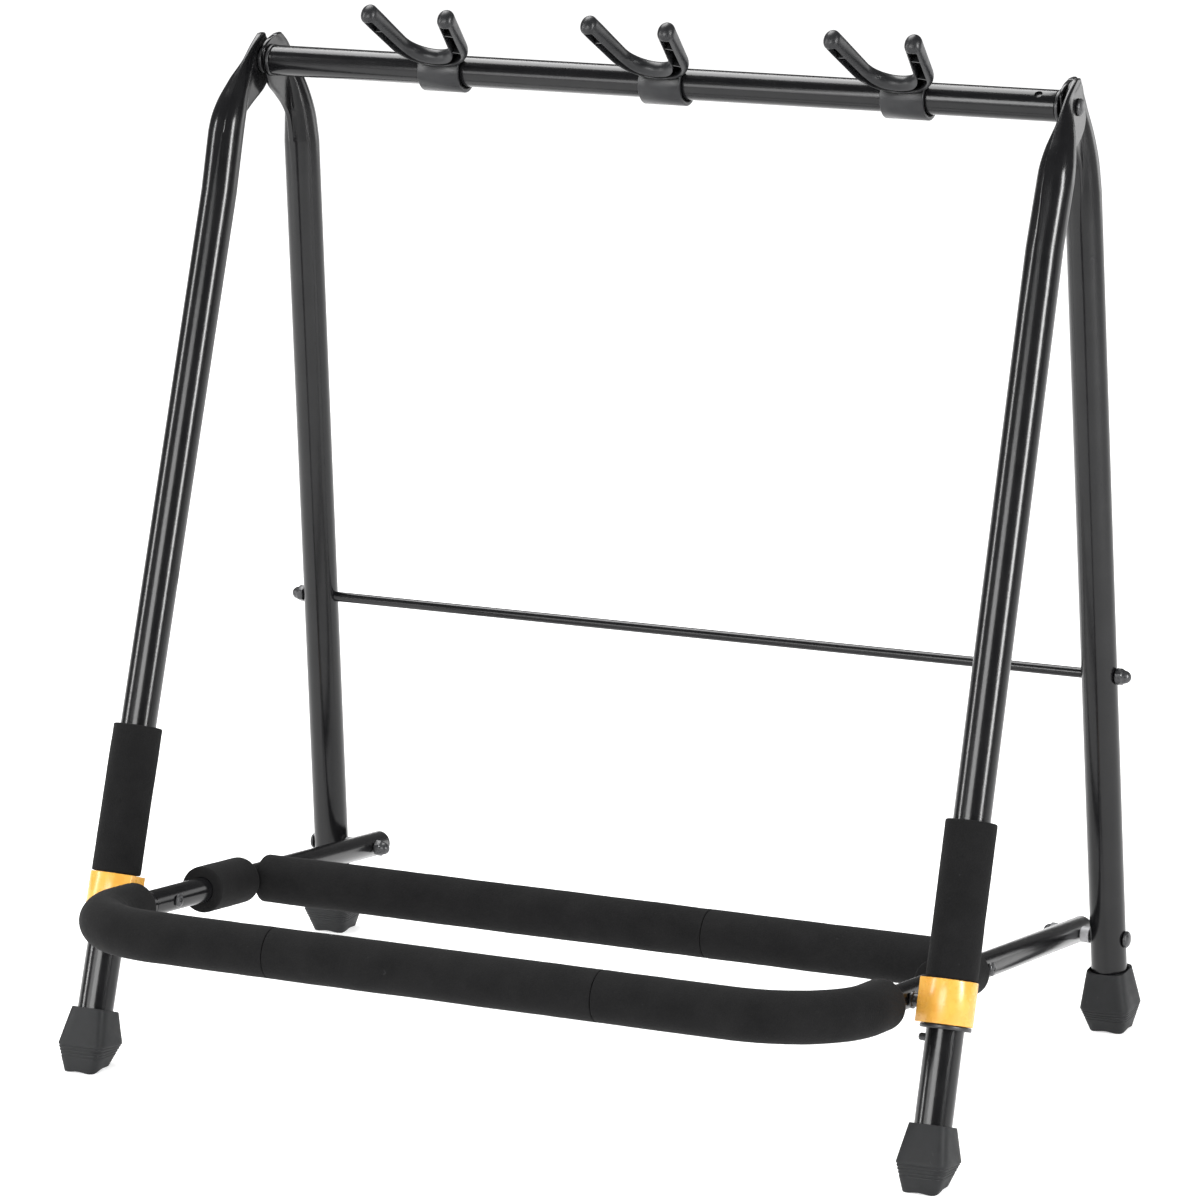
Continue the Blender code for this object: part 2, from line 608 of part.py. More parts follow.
def straight_foam(name, u, low_x, high_x, radius):
    """Foam on a straight cradle bar."""
    middle = HINGE + RAIL_FORWARD * u
    path = [(middle + X_AXIS * low_x, X_AXIS), (middle + X_AXIS * high_x, X_AXIS)]
    foam_pipe(name, path, radius)


def make_rail_fittings(word, side):
    """Hinge bolt, nut and spacer of a rail, its screws and its latch stud."""
    out = X_AXIS * side
    outer_face = HINGE_LEG_X + LEG_RADIUS + GAP
    inner_face = HINGE_LEG_X - LEG_RADIUS - GAP
    rail_outer = RAIL_X + RAIL_RADIUS + GAP
    nut_face = RAIL_X - RAIL_RADIUS - GAP
    bush("hinge_spacer_" + word, HINGE, out, SPACER_RADIUS, BOLT_RADIUS + GAP, rail_outer,
         inner_face, "grey_plastic")
    bolt_tip = nut_face - NUT_BORE_DEPTH + 2 * GAP
    screw("cradle_bolt_" + word, HINGE, out, BOLT_RADIUS, bolt_tip, outer_face, CRADLE_HEAD)
    acorn_nut("cradle_nut_" + word, HINGE, out * -1, -nut_face)

    middle = HINGE + RAIL_FORWARD * REAR_BAR_U
    bush("cross_insert_" + word, middle, out, RAIL_RADIUS - WALL - GAP, CROSS_SCREW_RADIUS + GAP,
         nut_face - INSERT_DEPTH, nut_face - GAP, "grey_plastic", TUBE_SEGMENTS)
    screw("cross_screw_" + word, middle, out, CROSS_SCREW_RADIUS, nut_face - 0.8 * INSERT_DEPTH,
          rail_outer, CROSS_HEAD)

    join = HINGE + RAIL_FORWARD * JOIN_SCREW_U
    screw("join_screw_" + word, join, out * -1, JOIN_SCREW_RADIUS, -nut_face - 3.5 * WALL, -nut_face,
          JOIN_HEAD)

    stud = HINGE + RAIL_FORWARD * STUD_U
    flange_radius, flange = STUD_FLANGE
    head_radius, height = STUD_HEAD
    stud_start = RAIL_X + RAIL_RADIUS - STUD_SOCKET
    turned("latch_stud_" + word, stud, out, [
        (STUD_RADIUS, stud_start), (STUD_RADIUS, rail_outer), (flange_radius, rail_outer),
        (flange_radius, rail_outer + flange), (head_radius, rail_outer + flange),
        (head_radius, rail_outer + 0.9 * height), (0.85 * head_radius, rail_outer + height),
    ], "black_zinc")


def hook_points():
    """Middle line of a yoke's hook in its own plane: x across, v out from the bar."""
    center_v = HOOK_BASE + HOOK_RADIUS
    end_turn = pi / 2 - HOOK_ARM_LEAN
    points = []
    for i in range(9):
        turn = -end_turn + 2 * end_turn * i / 8
        points.append((HOOK_RADIUS * sin(turn), center_v - HOOK_RADIUS * cos(turn)))
    start_x, start_v = points[-1]
    right_arm = []
    for stop in HOOK_ARM_STOPS:
        right_arm.append((start_x + stop * sin(HOOK_ARM_LEAN), start_v + stop * cos(HOOK_ARM_LEAN)))
    left_arm = [(-x, v) for x, v in reversed(right_arm)]
    return left_arm + points + right_arm


def make_yoke(name, x):
    """Clip round the bar joined to a hook with a ribbed channel under it."""
    out = Vector((0, -cos(HOOK_TILT), sin(HOOK_TILT)))
    up = Vector((0, sin(HOOK_TILT), cos(HOOK_TILT)))
    base = PIVOT + X_AXIS * x
    line = hook_points()
    spots = [base + X_AXIS * a + out * v for a, v in line]
    rings = []
    for i, spot in enumerate(spots):
        way = (spots[min(i + 1, len(spots) - 1)] - spots[max(i - 1, 0)]).normalized()
        rings.append((spot, way))
    body = []
    spot, way = rings[0]
    for reach, shrink in TIP_ROUNDING:
        body.append(hook_ring(spot - way * reach, way, up, shrink, shrink))
    for i, (spot, way) in enumerate(rings):
        root = min(1, 2 - 2 * abs(2 * i / (len(rings) - 1) - 1))
        wider, deeper = HOOK_GROWTH
        body.append(hook_ring(spot, way, up, 1 + wider * root, 1 + deeper * root))
    spot, way = rings[-1]
    for reach, shrink in reversed(TIP_ROUNDING):
        body.append(hook_ring(spot + way * reach, way, up, shrink, shrink))
    yoke = loft(name, body, "grey_plastic")

    clip = make_clip(name + "_clip", base)
    boolean(yoke, clip, "UNION")

    for start, end in POCKETS:
        pocket = []
        for spot, way in rings[start:end + 1]:
            pocket.append(pocket_ring(spot, way, up))
        pocket[0] = [point + rings[start][1] * RIB_HALF for point in pocket[0]]
        pocket[-1] = [point - rings[end][1] * RIB_HALF for point in pocket[-1]]
        cutter = loft(name + "_pocket_" + str(start), pocket, "grey_plastic")
        boolean(yoke, cutter, "DIFFERENCE")


def hook_ring(spot, way, up, width_scale, depth_scale):
    """Rounded section of a hook."""
    beside = way.cross(up).normalized()
    ring = []
    for i in range(HOOK_SEGMENTS):
        turn = 2 * pi * (i + 0.5) / HOOK_SEGMENTS
        a = HOOK_HALF_WIDTH * width_scale * cos(turn)
        b = HOOK_HALF_DEPTH * depth_scale * sin(turn)
        ring.append(spot + beside * a + up * b)
    return ring


def pocket_ring(spot, way, up):
    """Section of the channel that opens under a hook."""
    beside = way.cross(up).normalized()
    half = POCKET_HALF_WIDTH
    low = -HOOK_HALF_DEPTH * 1.45
    high = 0.0005
    return [spot + beside * a + up * b for a, b in ((-half, low), (half, low), (half, high), (-half, high))]


def make_clip(name, base):
    """C-shaped band that snaps round the bar and is open behind."""
    inner = BAR_RADIUS + GAP
    outer = inner + CLIP_THICKNESS
    start = radians(62)
    end = radians(-138)
    steps = 12
    outline = []
    for radius, order in ((outer, range(steps + 1)), (inner, range(steps, -1, -1))):
        for i in order:
            turn = start + (end - start) * i / steps
            outline.append(Vector((0, -cos(turn) * radius, sin(turn) * radius)))
    rings = []
    for side in (-1, 1):
        rings.append([base + X_AXIS * side * CLIP_HALF_WIDTH + point for point in outline])
    return loft(name, rings, "grey_plastic")


def main():
    """Build the whole rack."""
    clear_scene()
    make_frame()
    for word, side in SIDES:
        make_front_leg(word, side)
        make_foot("foot_rear_" + word, REAR_LEG, side, FOOT_TOP_RISE[1])
    make_cradle()
    for word, x in zip(("left", "middle", "right"), YOKE_X):
        make_yoke("yoke_" + word, x)


main()
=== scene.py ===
"""Looks of a folding three-place guitar rack. Metres, +Z up, -Y is the front.

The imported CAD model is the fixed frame. Each CAD node is replaced by a finer piece
of the same size that rides on the same body. A "u" value is a distance along the
cradle rails from their hinge, and an "s" value is a distance down a leg.
"""
import json
from math import acos, atan2, cos, pi, radians, sin

import bmesh
import bpy
from mathutils import Matrix, Vector, noise


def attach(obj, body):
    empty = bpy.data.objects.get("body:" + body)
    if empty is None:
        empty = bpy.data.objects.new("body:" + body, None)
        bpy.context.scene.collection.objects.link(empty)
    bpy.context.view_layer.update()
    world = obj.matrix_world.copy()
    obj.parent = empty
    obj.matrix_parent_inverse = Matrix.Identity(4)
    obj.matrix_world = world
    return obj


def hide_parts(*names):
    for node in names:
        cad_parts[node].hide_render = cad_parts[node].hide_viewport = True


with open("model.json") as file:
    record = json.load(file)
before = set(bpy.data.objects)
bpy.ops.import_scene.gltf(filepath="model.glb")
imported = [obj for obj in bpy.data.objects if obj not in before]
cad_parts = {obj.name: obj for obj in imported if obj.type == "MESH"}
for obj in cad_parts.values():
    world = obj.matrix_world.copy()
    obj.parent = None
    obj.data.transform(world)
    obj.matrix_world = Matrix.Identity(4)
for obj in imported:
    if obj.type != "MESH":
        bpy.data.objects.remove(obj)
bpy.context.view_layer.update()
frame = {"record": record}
BODY_OF = {}
for body_name, members in frame["record"]["behaviour"]["bodies"].items():
    for member in members:
        BODY_OF[member] = body_name

# Dimensions of the frame, in metres, as in the CAD
PIVOT_Y = 0.1266
PIVOT_Z = 0.586
GAP = 0.0003
LEG_RADIUS = 0.0111
BAR_RADIUS = 0.0095
RAIL_RADIUS = 0.0079
ROD_RADIUS = 0.0032
WALL = 0.0012

FRONT_LEG = {"top": (0.2738, -0.0271), "floor": (0.2780, -0.2507)}
REAR_LEG = {"top": (0.2629, 0.0310), "floor": (0.2726, 0.0616)}
PLATE_HALF_THICKNESS = 0.0016
REAR_PLATE_X = 0.2662
FRONT_PLATE_X = 0.2724
# Each level of a neck: height from the hinge; inner and outer edge, measured from the
# hinge outwards; half width and half thickness of the part that stays round
FRONT_NECK = (
    (-0.0380, 0.0297, 0.0535, 0.0119, 0.0111), (-0.0310, 0.0240, 0.0504, 0.0117, 0.0108),
    (-0.0250, 0.0130, 0.0468, 0.0113, 0.0101), (-0.0185, -0.0015, 0.0420, 0.0105, 0.0088),
    (-0.0120, -0.0085, 0.0360, 0.0095, 0.0070), (-0.0050, -0.0110, 0.0295, 0.0080, 0.0047),
    (0.0015, -0.0112, 0.0230, 0.0070, 0.0026), (0.0075, -0.0100, 0.0160, 0.0060, 0.0016),
    (0.0120, -0.0075, 0.0095, 0.0060, 0.0016), (0.0161, -0.0036, 0.0022, 0.0060, 0.0016),
)
REAR_NECK = (
    (-0.0560, 0.0228, 0.0450, 0.0111, 0.0111), (-0.0410, 0.0206, 0.0440, 0.0107, 0.0098),
    (-0.0320, 0.0155, 0.0422, 0.0100, 0.0087), (-0.0230, 0.0060, 0.0395, 0.0090, 0.0072),
    (-0.0160, -0.0025, 0.0367, 0.0080, 0.0058), (-0.0080, -0.0062, 0.0332, 0.0070, 0.0038),
    (0.0000, -0.0078, 0.0290, 0.0060, 0.0022), (0.0080, -0.0090, 0.0235, 0.0060, 0.0016),
    (0.0128, -0.0030, 0.0180, 0.0060, 0.0016), (0.0150, 0.0070, 0.0145, 0.0060, 0.0016),
)
FRONT_NECK_SPREAD = 0.0015
BORE_TOP = 0.085
ROUND_TOP = 0.080
TUBE_END_RISE = 0.008
BAR_HALF_LENGTH = 0.2620
BAR_HOLE = (0.251, 0.0025)  # x and radius of the locating hole
PLUG_DEPTH = 0.016
PLUG_LIP = 0.0005           # a plug's ring stands this much proud of the bar
PIVOT_BOLT_RADIUS = 0.0030
PIVOT_BOLT_DEPTH = 0.014    # screwed this far into the bar's plug
WASHER_RADIUS = 0.0085
BOLT_RADIUS = 0.0026        # cradle bolts and the threaded ends of the brace rod
BOLT_THREAD = 0.0060        # how far a cradle bolt goes into its nut
ROD_THREAD = 0.0062         # how far a rod end goes into its nut
ROD_S = 0.3575

# Screws and bolts: radius, height and straight edge of each domed head
PIVOT_HEAD = (0.0052, 0.0028, 0.0006)
CRADLE_HEAD = (0.0052, 0.0031, 0.0008)
CROSS_HEAD = (0.0042, 0.0026, 0.0007)
JOIN_HEAD = (0.0040, 0.0024, 0.0006)
CROSS_SCREW = (0.0021, 0.010)  # radius and depth in its tube
JOIN_SCREW = (0.0019, 0.0042)
NUT_HALF_WIDTH = 0.0048
NUT_BORE_DEPTH = 0.0068

RAIL_X = 0.2464
RAIL_PITCH = radians(8.34)
RAIL_HINGE = (0.0585, 0.0594)
RAIL_REAR_U = -0.018
RAIL_FRONT_U = 0.285
SPIGOT_END_U = 0.248
SPIGOT_RADIUS = 0.0064
FRONT_BAR_U = 0.3806
REAR_BAR_U = 0.1516
CORNER_RADIUS = 0.060
JOIN_SCREW_U = 0.261
STUD_U = 0.274
STUD_RADIUS = 0.0025
STUD_FLANGE = (0.0052, 0.0014)  # radius and thickness
STUD_HEAD = (0.0040, 0.0050)
SPACER = (0.0050, 0.0030)       # outer and bore radius
INSERT_DEPTH = 0.012
FOAM_BORE = RAIL_RADIUS + GAP
FRONT_FOAM_RADIUS = 0.0153
REAR_FOAM_RADIUS = 0.0151
SLEEVE_RADIUS = 0.0144
CORNER_FOAM_U = 0.299
FRONT_SEAM_X = 0.1065
REAR_SEAM_X = 0.0705
SLEEVE_U = (0.1685, 0.218)

GRIP_RADIUS = 0.0152
GRIP_S = (0.415, 0.5066)
COLLAR_S = (0.5070, 0.5330)
RIM_S = (0.5333, 0.5357)
COLLAR_RADIUS = 0.0157
COLLAR_NOSE = (0.0164, 0.0086)  # distance of its flat towards the rail, and half its width
COLLAR_ROUND = radians(122)     # half the angle of its round back
RIM_RADIUS = 0.0151
LOCK_SLEEVE_RADIUS = 0.0124
STOP_PIN_S = 0.5412
STOP_PIN_RADIUS = 0.0023

FOOT_TOP_RISE = (0.0365, 0.0392)  # front and rear foot height along the leg
FOOT_TOP_HALF = 0.0124
FOOT_WIDE_HALF = 0.0160
FOOT_SOLE_HALF = 0.0112
FOOT_WIDE_RISE = 0.0155
FOOT_GROOVES = (0.0146, 0.0128, 0.0110, 0.0092)

# Each yoke: word, x, and the degrees its hook turns about its stem and leans along the bar
YOKES = (("left", -0.142, 0, 2), ("middle", 0.008, 2, 0), ("right", 0.1665, 0, 0))
HOOK_TILT = radians(37)
HOOK_BASE = 0.0160              # bar axis to the middle of the hook
HOOK_RADIUS = 0.0205
HOOK_ARM_LEAN = radians(9)
HOOK_TIP = 0.067
HOOK_HALF_WIDTH = 0.0053
HOOK_HALF_DEPTH = 0.0062
HOOK_GROWTH = (0.14, -0.18)     # change in width and in depth from an arm to the root
POCKET_HALF_WIDTH = 0.0030
SLOT_HALF_WIDTH = 0.0012
POCKET_DEPTH = 0.0088
CLIP_HALF_WIDTH = 0.0140
CLIP_THICKNESS = 0.0034

X_AXIS = Vector((1, 0, 0))
Y_AXIS = Vector((0, 1, 0))
Z_AXIS = Vector((0, 0, 1))
PIVOT = Vector((0, PIVOT_Y, PIVOT_Z))
HINGE = Vector((0, PIVOT_Y + RAIL_HINGE[0], RAIL_HINGE[1]))
HINGE_LEG_X = REAR_LEG["floor"][0] + (REAR_LEG["top"][0] - REAR_LEG["floor"][0]) * HINGE.z / PIVOT_Z
RAIL_FORWARD = Vector((0, -cos(RAIL_PITCH), sin(RAIL_PITCH)))
RAIL_UP = Vector((0, sin(RAIL_PITCH), cos(RAIL_PITCH)))
SIDES = (("left", -1), ("right", 1))

SEGMENTS = 64
LEG_SEGMENTS = 96
SMALL_SEGMENTS = 36
FLOOR_RADIUS = 40
# Name, place, target, width, height and watts of each soft light
LIGHTS = (
    ("overhead_box", (-0.92, 0.82, 2.2), (-0.92, 0.80, 0), 1.5, 1.7, 72),
    ("front_box", (-0.10, -2.5, 1.25), (-0.10, 0, 1.0), 1.2, 1.0, 44),
    ("low_box", (-1.25, -2.5, 0.76), (-1.25, 0, 0.76), 1.3, 0.8, 19),
    ("left_box", (-2.35, -1.25, 1.15), (0, 0, 0.4), 0.4, 1.6, 38),
    ("right_box", (2.4, -0.55, 1.2), (0, 0, 0.5), 0.5, 1.4, 74),
    ("rear_box", (1.5, 2.4, 0.55), (0.27, 0.12, 0.5), 1.1, 0.9, 7),
)


# ---- materials ----

def new_material(name):
    """An empty Principled material with its object coordinates."""
    made = bpy.data.materials.new(name)
    made.use_nodes = True
    nodes = made.node_tree.nodes
    shader = nodes["Principled BSDF"]
    coords = nodes.new("ShaderNodeTexCoord")
    return made, shader, coords.outputs["Object"]


def preset(node, values):
    """Set a node's own sockets."""
    for name, value in values.items():
        node.inputs[name].default_value = value


def noise_node(made, coords, scale, detail=2.0, rough=0.5):
    """A noise texture over the object's own coordinates."""
    node = made.node_tree.nodes.new("ShaderNodeTexNoise")
    preset(node, {"Scale": scale, "Detail": detail, "Roughness": rough})
    made.node_tree.links.new(coords, node.inputs["Vector"])
    return node.outputs["Fac"]


def ramp(made, value, low, high, dark, light):
    """Spread a value between two colours."""
    node = made.node_tree.nodes.new("ShaderNodeValToRGB")
    node.color_ramp.elements[0].position = low
    node.color_ramp.elements[1].position = high
    node.color_ramp.elements[0].color = (*dark, 1)
    node.color_ramp.elements[1].color = (*light, 1)
    made.node_tree.links.new(value, node.inputs["Fac"])
    return node.outputs["Color"]


def spread(made, value, low, high, bottom, top):
    """Map a value range to another."""
    node = made.node_tree.nodes.new("ShaderNodeMapRange")
    preset(node, {"From Min": low, "From Max": high, "To Min": bottom, "To Max": top})
    made.node_tree.links.new(value, node.inputs["Value"])
    return node.outputs["Result"]


def mixed(made, factor, first, second):
    """Mix two colours by a factor."""
    node = made.node_tree.nodes.new("ShaderNodeMix")
    node.data_type = "RGBA"
    made.node_tree.links.new(factor, node.inputs["Factor"])
    made.node_tree.links.new(first, node.inputs["A"])
    if isinstance(second, tuple):
        node.inputs["B"].default_value = (*second, 1)
    else:
        made.node_tree.links.new(second, node.inputs["B"])
    return node.outputs["Result"]


def bumped(made, shader, layers):
    """Stack bump layers of (height output, distance in metres, strength)."""
    normal = None
    for height, distance, strength in layers:
        node = made.node_tree.nodes.new("ShaderNodeBump")
        preset(node, {"Distance": distance, "Strength": strength})
        made.node_tree.links.new(height, node.inputs["Height"])
        if normal:
            made.node_tree.links.new(normal, node.inputs["Normal"])
        normal = node.outputs["Normal"]
    made.node_tree.links.new(normal, shader.inputs["Normal"])


def powder_coat():
    """Glossy black powder coat: orange peel, fine grain and a little dust."""
    made, shader, coords = new_material("powder_coated_steel")
    links = made.node_tree.links
    broad = noise_node(made, coords, 60, 3)
    fine = noise_node(made, coords, 1500, 2)
    peel = noise_node(made, coords, 420, 2)
    speck = noise_node(made, coords, 900, 1)
    base = ramp(made, broad, 0.35, 0.7, (0.0040, 0.0040, 0.0045), (0.0065, 0.0065, 0.0070))
    dust = spread(made, speck, 0.74, 0.80, 0.0, 0.35)
    links.new(mixed(made, dust, base, (0.03, 0.03, 0.031)), shader.inputs["Base Color"])
    shader.inputs["Specular IOR Level"].default_value = 0.32
    links.new(spread(made, fine, 0.3, 0.7, 0.15, 0.24), shader.inputs["Roughness"])
    bumped(made, shader, ((peel, 0.00004, 0.35), (fine, 0.00002, 0.45)))
    return made


def zinc():
    """Blackened zinc on bolts and nuts."""
    made, shader, coords = new_material("black_zinc_plating")
    links = made.node_tree.links
    cloud = noise_node(made, coords, 700, 3)
    fine = noise_node(made, coords, 2600, 1)
    links.new(ramp(made, cloud, 0.3, 0.7, (0.028, 0.029, 0.031), (0.050, 0.050, 0.052)),
              shader.inputs["Base Color"])
    shader.inputs["Metallic"].default_value = 0.3
    links.new(spread(made, cloud, 0.3, 0.7, 0.24, 0.42), shader.inputs["Roughness"])
    bumped(made, shader, ((fine, 0.00003, 0.4),))
    return made


def foam():
    """Matt closed-cell foam with pores, scuffs and slightly uneven colour."""
    made, shader, coords = new_material("closed_cell_foam")
    links = made.node_tree.links
    broad = noise_node(made, coords, 45, 4, 0.6)
    grain = noise_node(made, coords, 1300, 3, 0.6)
    cells = made.node_tree.nodes.new("ShaderNodeTexVoronoi")
    cells.inputs["Scale"].default_value = 1100
    links.new(coords, cells.inputs["Vector"])
    nicks = noise_node(made, coords, 260, 2, 0.6)
    base = ramp(made, broad, 0.3, 0.72, (0.0055, 0.0055, 0.0057), (0.0090, 0.0089, 0.0091))
    worn = mixed(made, spread(made, nicks, 0.72, 0.80, 0.0, 0.5), base, (0.026, 0.026, 0.027))
    links.new(worn, shader.inputs["Base Color"])
    preset(shader, {"Specular IOR Level": 0.09, "Sheen Weight": 0.02, "Sheen Roughness": 0.5})
    links.new(spread(made, grain, 0.3, 0.7, 0.78, 0.98), shader.inputs["Roughness"])
    bumped(made, shader, (
        (broad, 0.0006, 0.25), (cells.outputs["Distance"], 0.00025, 0.55), (grain, 0.00018, 0.5),
    ))
    return made


def plastic(name, dark, light, rough, grain, sub=0.0, shade_hollows=False):
    """Moulded plastic with a fine texture. When asked, painted shade from ambient occlusion turns its
    deep channels near black.
    """
    made, shader, coords = new_material(name)
    links = made.node_tree.links
    cloud = noise_node(made, coords, 140, 3)
    fine = noise_node(made, coords, grain, 2)
    color = ramp(made, cloud, 0.3, 0.7, dark, light)
    if shade_hollows:
        # painted shade: within 6 mm, ambient occlusion blends the colour to near black in channels and
        # hollows
        depth = made.node_tree.nodes.new("ShaderNodeAmbientOcclusion")
        depth.inputs["Distance"].default_value = 0.006
        depth.samples = 8
        unshaded_share = spread(made, depth.outputs["AO"], 0.45, 0.85, 0.0, 1.0)
        shader.inputs["Specular IOR Level"].default_value = 0.30
        black = ramp(made, cloud, 0.3, 0.7, (0.001, 0.001, 0.001), (0.0015, 0.0015, 0.0015))
        color = mixed(made, unshaded_share, black, color)
    links.new(color, shader.inputs["Base Color"])
    links.new(spread(made, cloud, 0.3, 0.7, rough[0], rough[1]), shader.inputs["Roughness"])
    if sub:
        preset(shader, {"Subsurface Weight": sub, "Subsurface Radius": (0.004, 0.002, 0.001),
                        "Subsurface Scale": 0.3})
    bumped(made, shader, ((fine, 0.00003, 0.4),))
    return made


def rubber():
    """Dusty moulded rubber."""
    made, shader, coords = new_material("moulded_rubber")
    links = made.node_tree.links
    cloud = noise_node(made, coords, 110, 4, 0.6)
    fine = noise_node(made, coords, 1500, 2)
    base = ramp(made, cloud, 0.3, 0.75, (0.010, 0.0105, 0.011), (0.017, 0.0175, 0.0185))
    marks = noise_node(made, coords, 380, 2)
    dusty = mixed(made, spread(made, marks, 0.70, 0.80, 0.0, 0.4), base, (0.045, 0.045, 0.044))
    links.new(dusty, shader.inputs["Base Color"])
    shader.inputs["Specular IOR Level"].default_value = 0.22
    links.new(spread(made, cloud, 0.3, 0.7, 0.48, 0.66), shader.inputs["Roughness"])
    bumped(made, shader, ((cloud, 0.0002, 0.2), (fine, 0.00004, 0.5)))
    return made


LOOKS = {
    "black_steel": powder_coat(),
    "black_zinc": zinc(),
    "black_foam": foam(),
    "yellow_plastic": plastic("glossy_yellow_plastic", (0.62, 0.30, 0.045), (0.68, 0.36, 0.060),
                              (0.24, 0.32), 900, 0.08),
    # painted shade darkens the channels and hollows of pieces in this grey plastic
    "grey_plastic": plastic("satin_grey_plastic", (0.010, 0.0103, 0.0113), (0.014, 0.0143, 0.0155),
                            (0.30, 0.40), 1300, 0.0, True),
    "black_plastic": plastic("black_moulded_plastic", (0.010, 0.010, 0.011), (0.015, 0.015, 0.016),
                             (0.32, 0.45), 1400),
    "black_rubber": rubber(),
    "pale_nylon": plastic("pale_nylon", (0.33, 0.33, 0.34), (0.40, 0.40, 0.41), (0.35, 0.5), 900),
}


# ---- shapes ----

def loft(name, rings, loop=False, sharp=35):
    """One closed body through rings of equal point counts."""
    bm = bmesh.new()
    loops = [[bm.verts.new(point) for point in ring] for ring in rings]
    pairs = list(zip(loops, loops[1:]))
    if loop:
        pairs.append((loops[-1], loops[0]))
    count = len(loops[0])
    for lower, upper in pairs:
        for i in range(count):
            j = (i + 1) % count
            bm.faces.new((lower[i], lower[j], upper[j], upper[i]))
    if not loop:
        bm.faces.new(list(reversed(loops[0])))
        bm.faces.new(loops[-1])
    bmesh.ops.recalc_face_normals(bm, faces=bm.faces)
    mesh = bpy.data.meshes.new(name)
    bm.to_mesh(mesh)
    bm.free()
    mesh.shade_smooth()
    mesh.set_sharp_from_angle(angle=radians(sharp))
    obj = bpy.data.objects.new(name, mesh)
    bpy.context.scene.collection.objects.link(obj)
    return obj


def combine(obj, others, operation, sharp=35):
    """Join or cut an object with guide shapes, which are then removed."""
    for other in others:
        modifier = obj.modifiers.new(operation.lower(), "BOOLEAN")
        modifier.operation = operation
        modifier.solver = "EXACT"
        modifier.object = other
    graph = bpy.context.evaluated_depsgraph_get()
    mesh = bpy.data.meshes.new_from_object(obj.evaluated_get(graph))
    obj.modifiers.clear()
    obj.data = mesh
    for other in others:
        bpy.data.objects.remove(other, do_unlink=True)
    mesh.materials.clear()
    mesh.shade_smooth()
    mesh.set_sharp_from_angle(angle=radians(sharp))
    return obj


def place(obj, node, slot, look=None):
    """Give a piece its material and its body, and hide the CAD node it stands for."""
    obj.data.materials.append(LOOKS[look or slot])
    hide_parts(node)
    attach(obj, BODY_OF[node])
    return obj


def across(axis):
    """Two unit vectors square to an axis, the first as level as it can be."""
    side = axis.cross(Z_AXIS)
    if side.length < 0.1:
        side = X_AXIS - axis * axis.dot(X_AXIS)
    side.normalize()
    return side, side.cross(axis).normalized()


def round_ring(center, a, b, radius, segments):
    """Points of a circle in the plane of two unit vectors."""
    turns = [2 * pi * (i + 0.5) / segments for i in range(segments)]
    return [center + a * radius * cos(t) + b * radius * sin(t) for t in turns]


def circle(center, axis, radius, segments):
    """Points of a circle square to an axis."""
    a, b = across(axis)
    return round_ring(center, a, b, radius, segments)


def softened(profile, reach, closed=False):
    """Replace the corners of a profile by small curves."""
    count = len(profile)
    steps = 3
    result = []
    for i, corner in enumerate(profile):
        if not closed and i in (0, count - 1):
            result.append(tuple(corner))
            continue
        here = Vector(corner)
        before = Vector(profile[i - 1])
        after = Vector(profile[(i + 1) % count])
        cut = min(reach, (before - here).length * 0.45, (after - here).length * 0.45)
        start = here + (before - here).normalized() * cut
        end = here + (after - here).normalized() * cut
        for k in range(steps + 1):
            t = k / steps
            result.append(tuple(start * (1 - t) ** 2 + here * 2 * t * (1 - t) + end * t * t))
    return result


def turned(name, origin, axis, profile, segments=SMALL_SEGMENTS, loop=False, soft=0.0004):
    """A turned piece: profile holds (radius, distance along the axis)."""
    fine = softened(profile, soft, loop)
    rings = [circle(origin + axis * along, axis, radius, segments) for radius, along in fine]
    return loft(name, rings, loop)


def tube(name, origin, axis, outer, inner, start, end, segments=SEGMENTS):
    """A plain tube with softened ends."""
    profile = [(inner, start), (outer, start), (outer, end), (inner, end)]
    return turned(name, origin, axis, profile, segments, True, 0.0005)


def leg_axis(leg, side):
    """A leg's axis: its point at pivot height and the unit vector down it."""
    top = Vector((side * leg["top"][0], PIVOT_Y + leg["top"][1], PIVOT_Z))
    floor = Vector((side * leg["floor"][0], PIVOT_Y + leg["floor"][1], 0))
    return top, (floor - top).normalized()


def leg_length(leg):
    """Length of a leg's axis from pivot height to the floor."""
    top = Vector((leg["top"][0], leg["top"][1], PIVOT_Z))
    floor = Vector((leg["floor"][0], leg["floor"][1], 0))
    return (floor - top).length


def rail_point(side, u):
    """Point on a cradle rail's axis."""
    return HINGE + X_AXIS * side * RAIL_X + RAIL_FORWARD * u


# ---- legs ----

def tube_ring(center, way, radius):
    """Round section of a leg, with the same point order as a neck section."""
    across_leg = way.cross(X_AXIS).normalized()
    beside = across_leg.cross(way).normalized()
    return round_ring(center, beside, across_leg, radius, LEG_SEGMENTS)


def soft_max(a, b, reach):
    """The larger of two values, with a rounded change from one to the other."""
    share = max(reach - abs(a - b), 0) / reach
    return max(a, b) + share * share * reach / 4


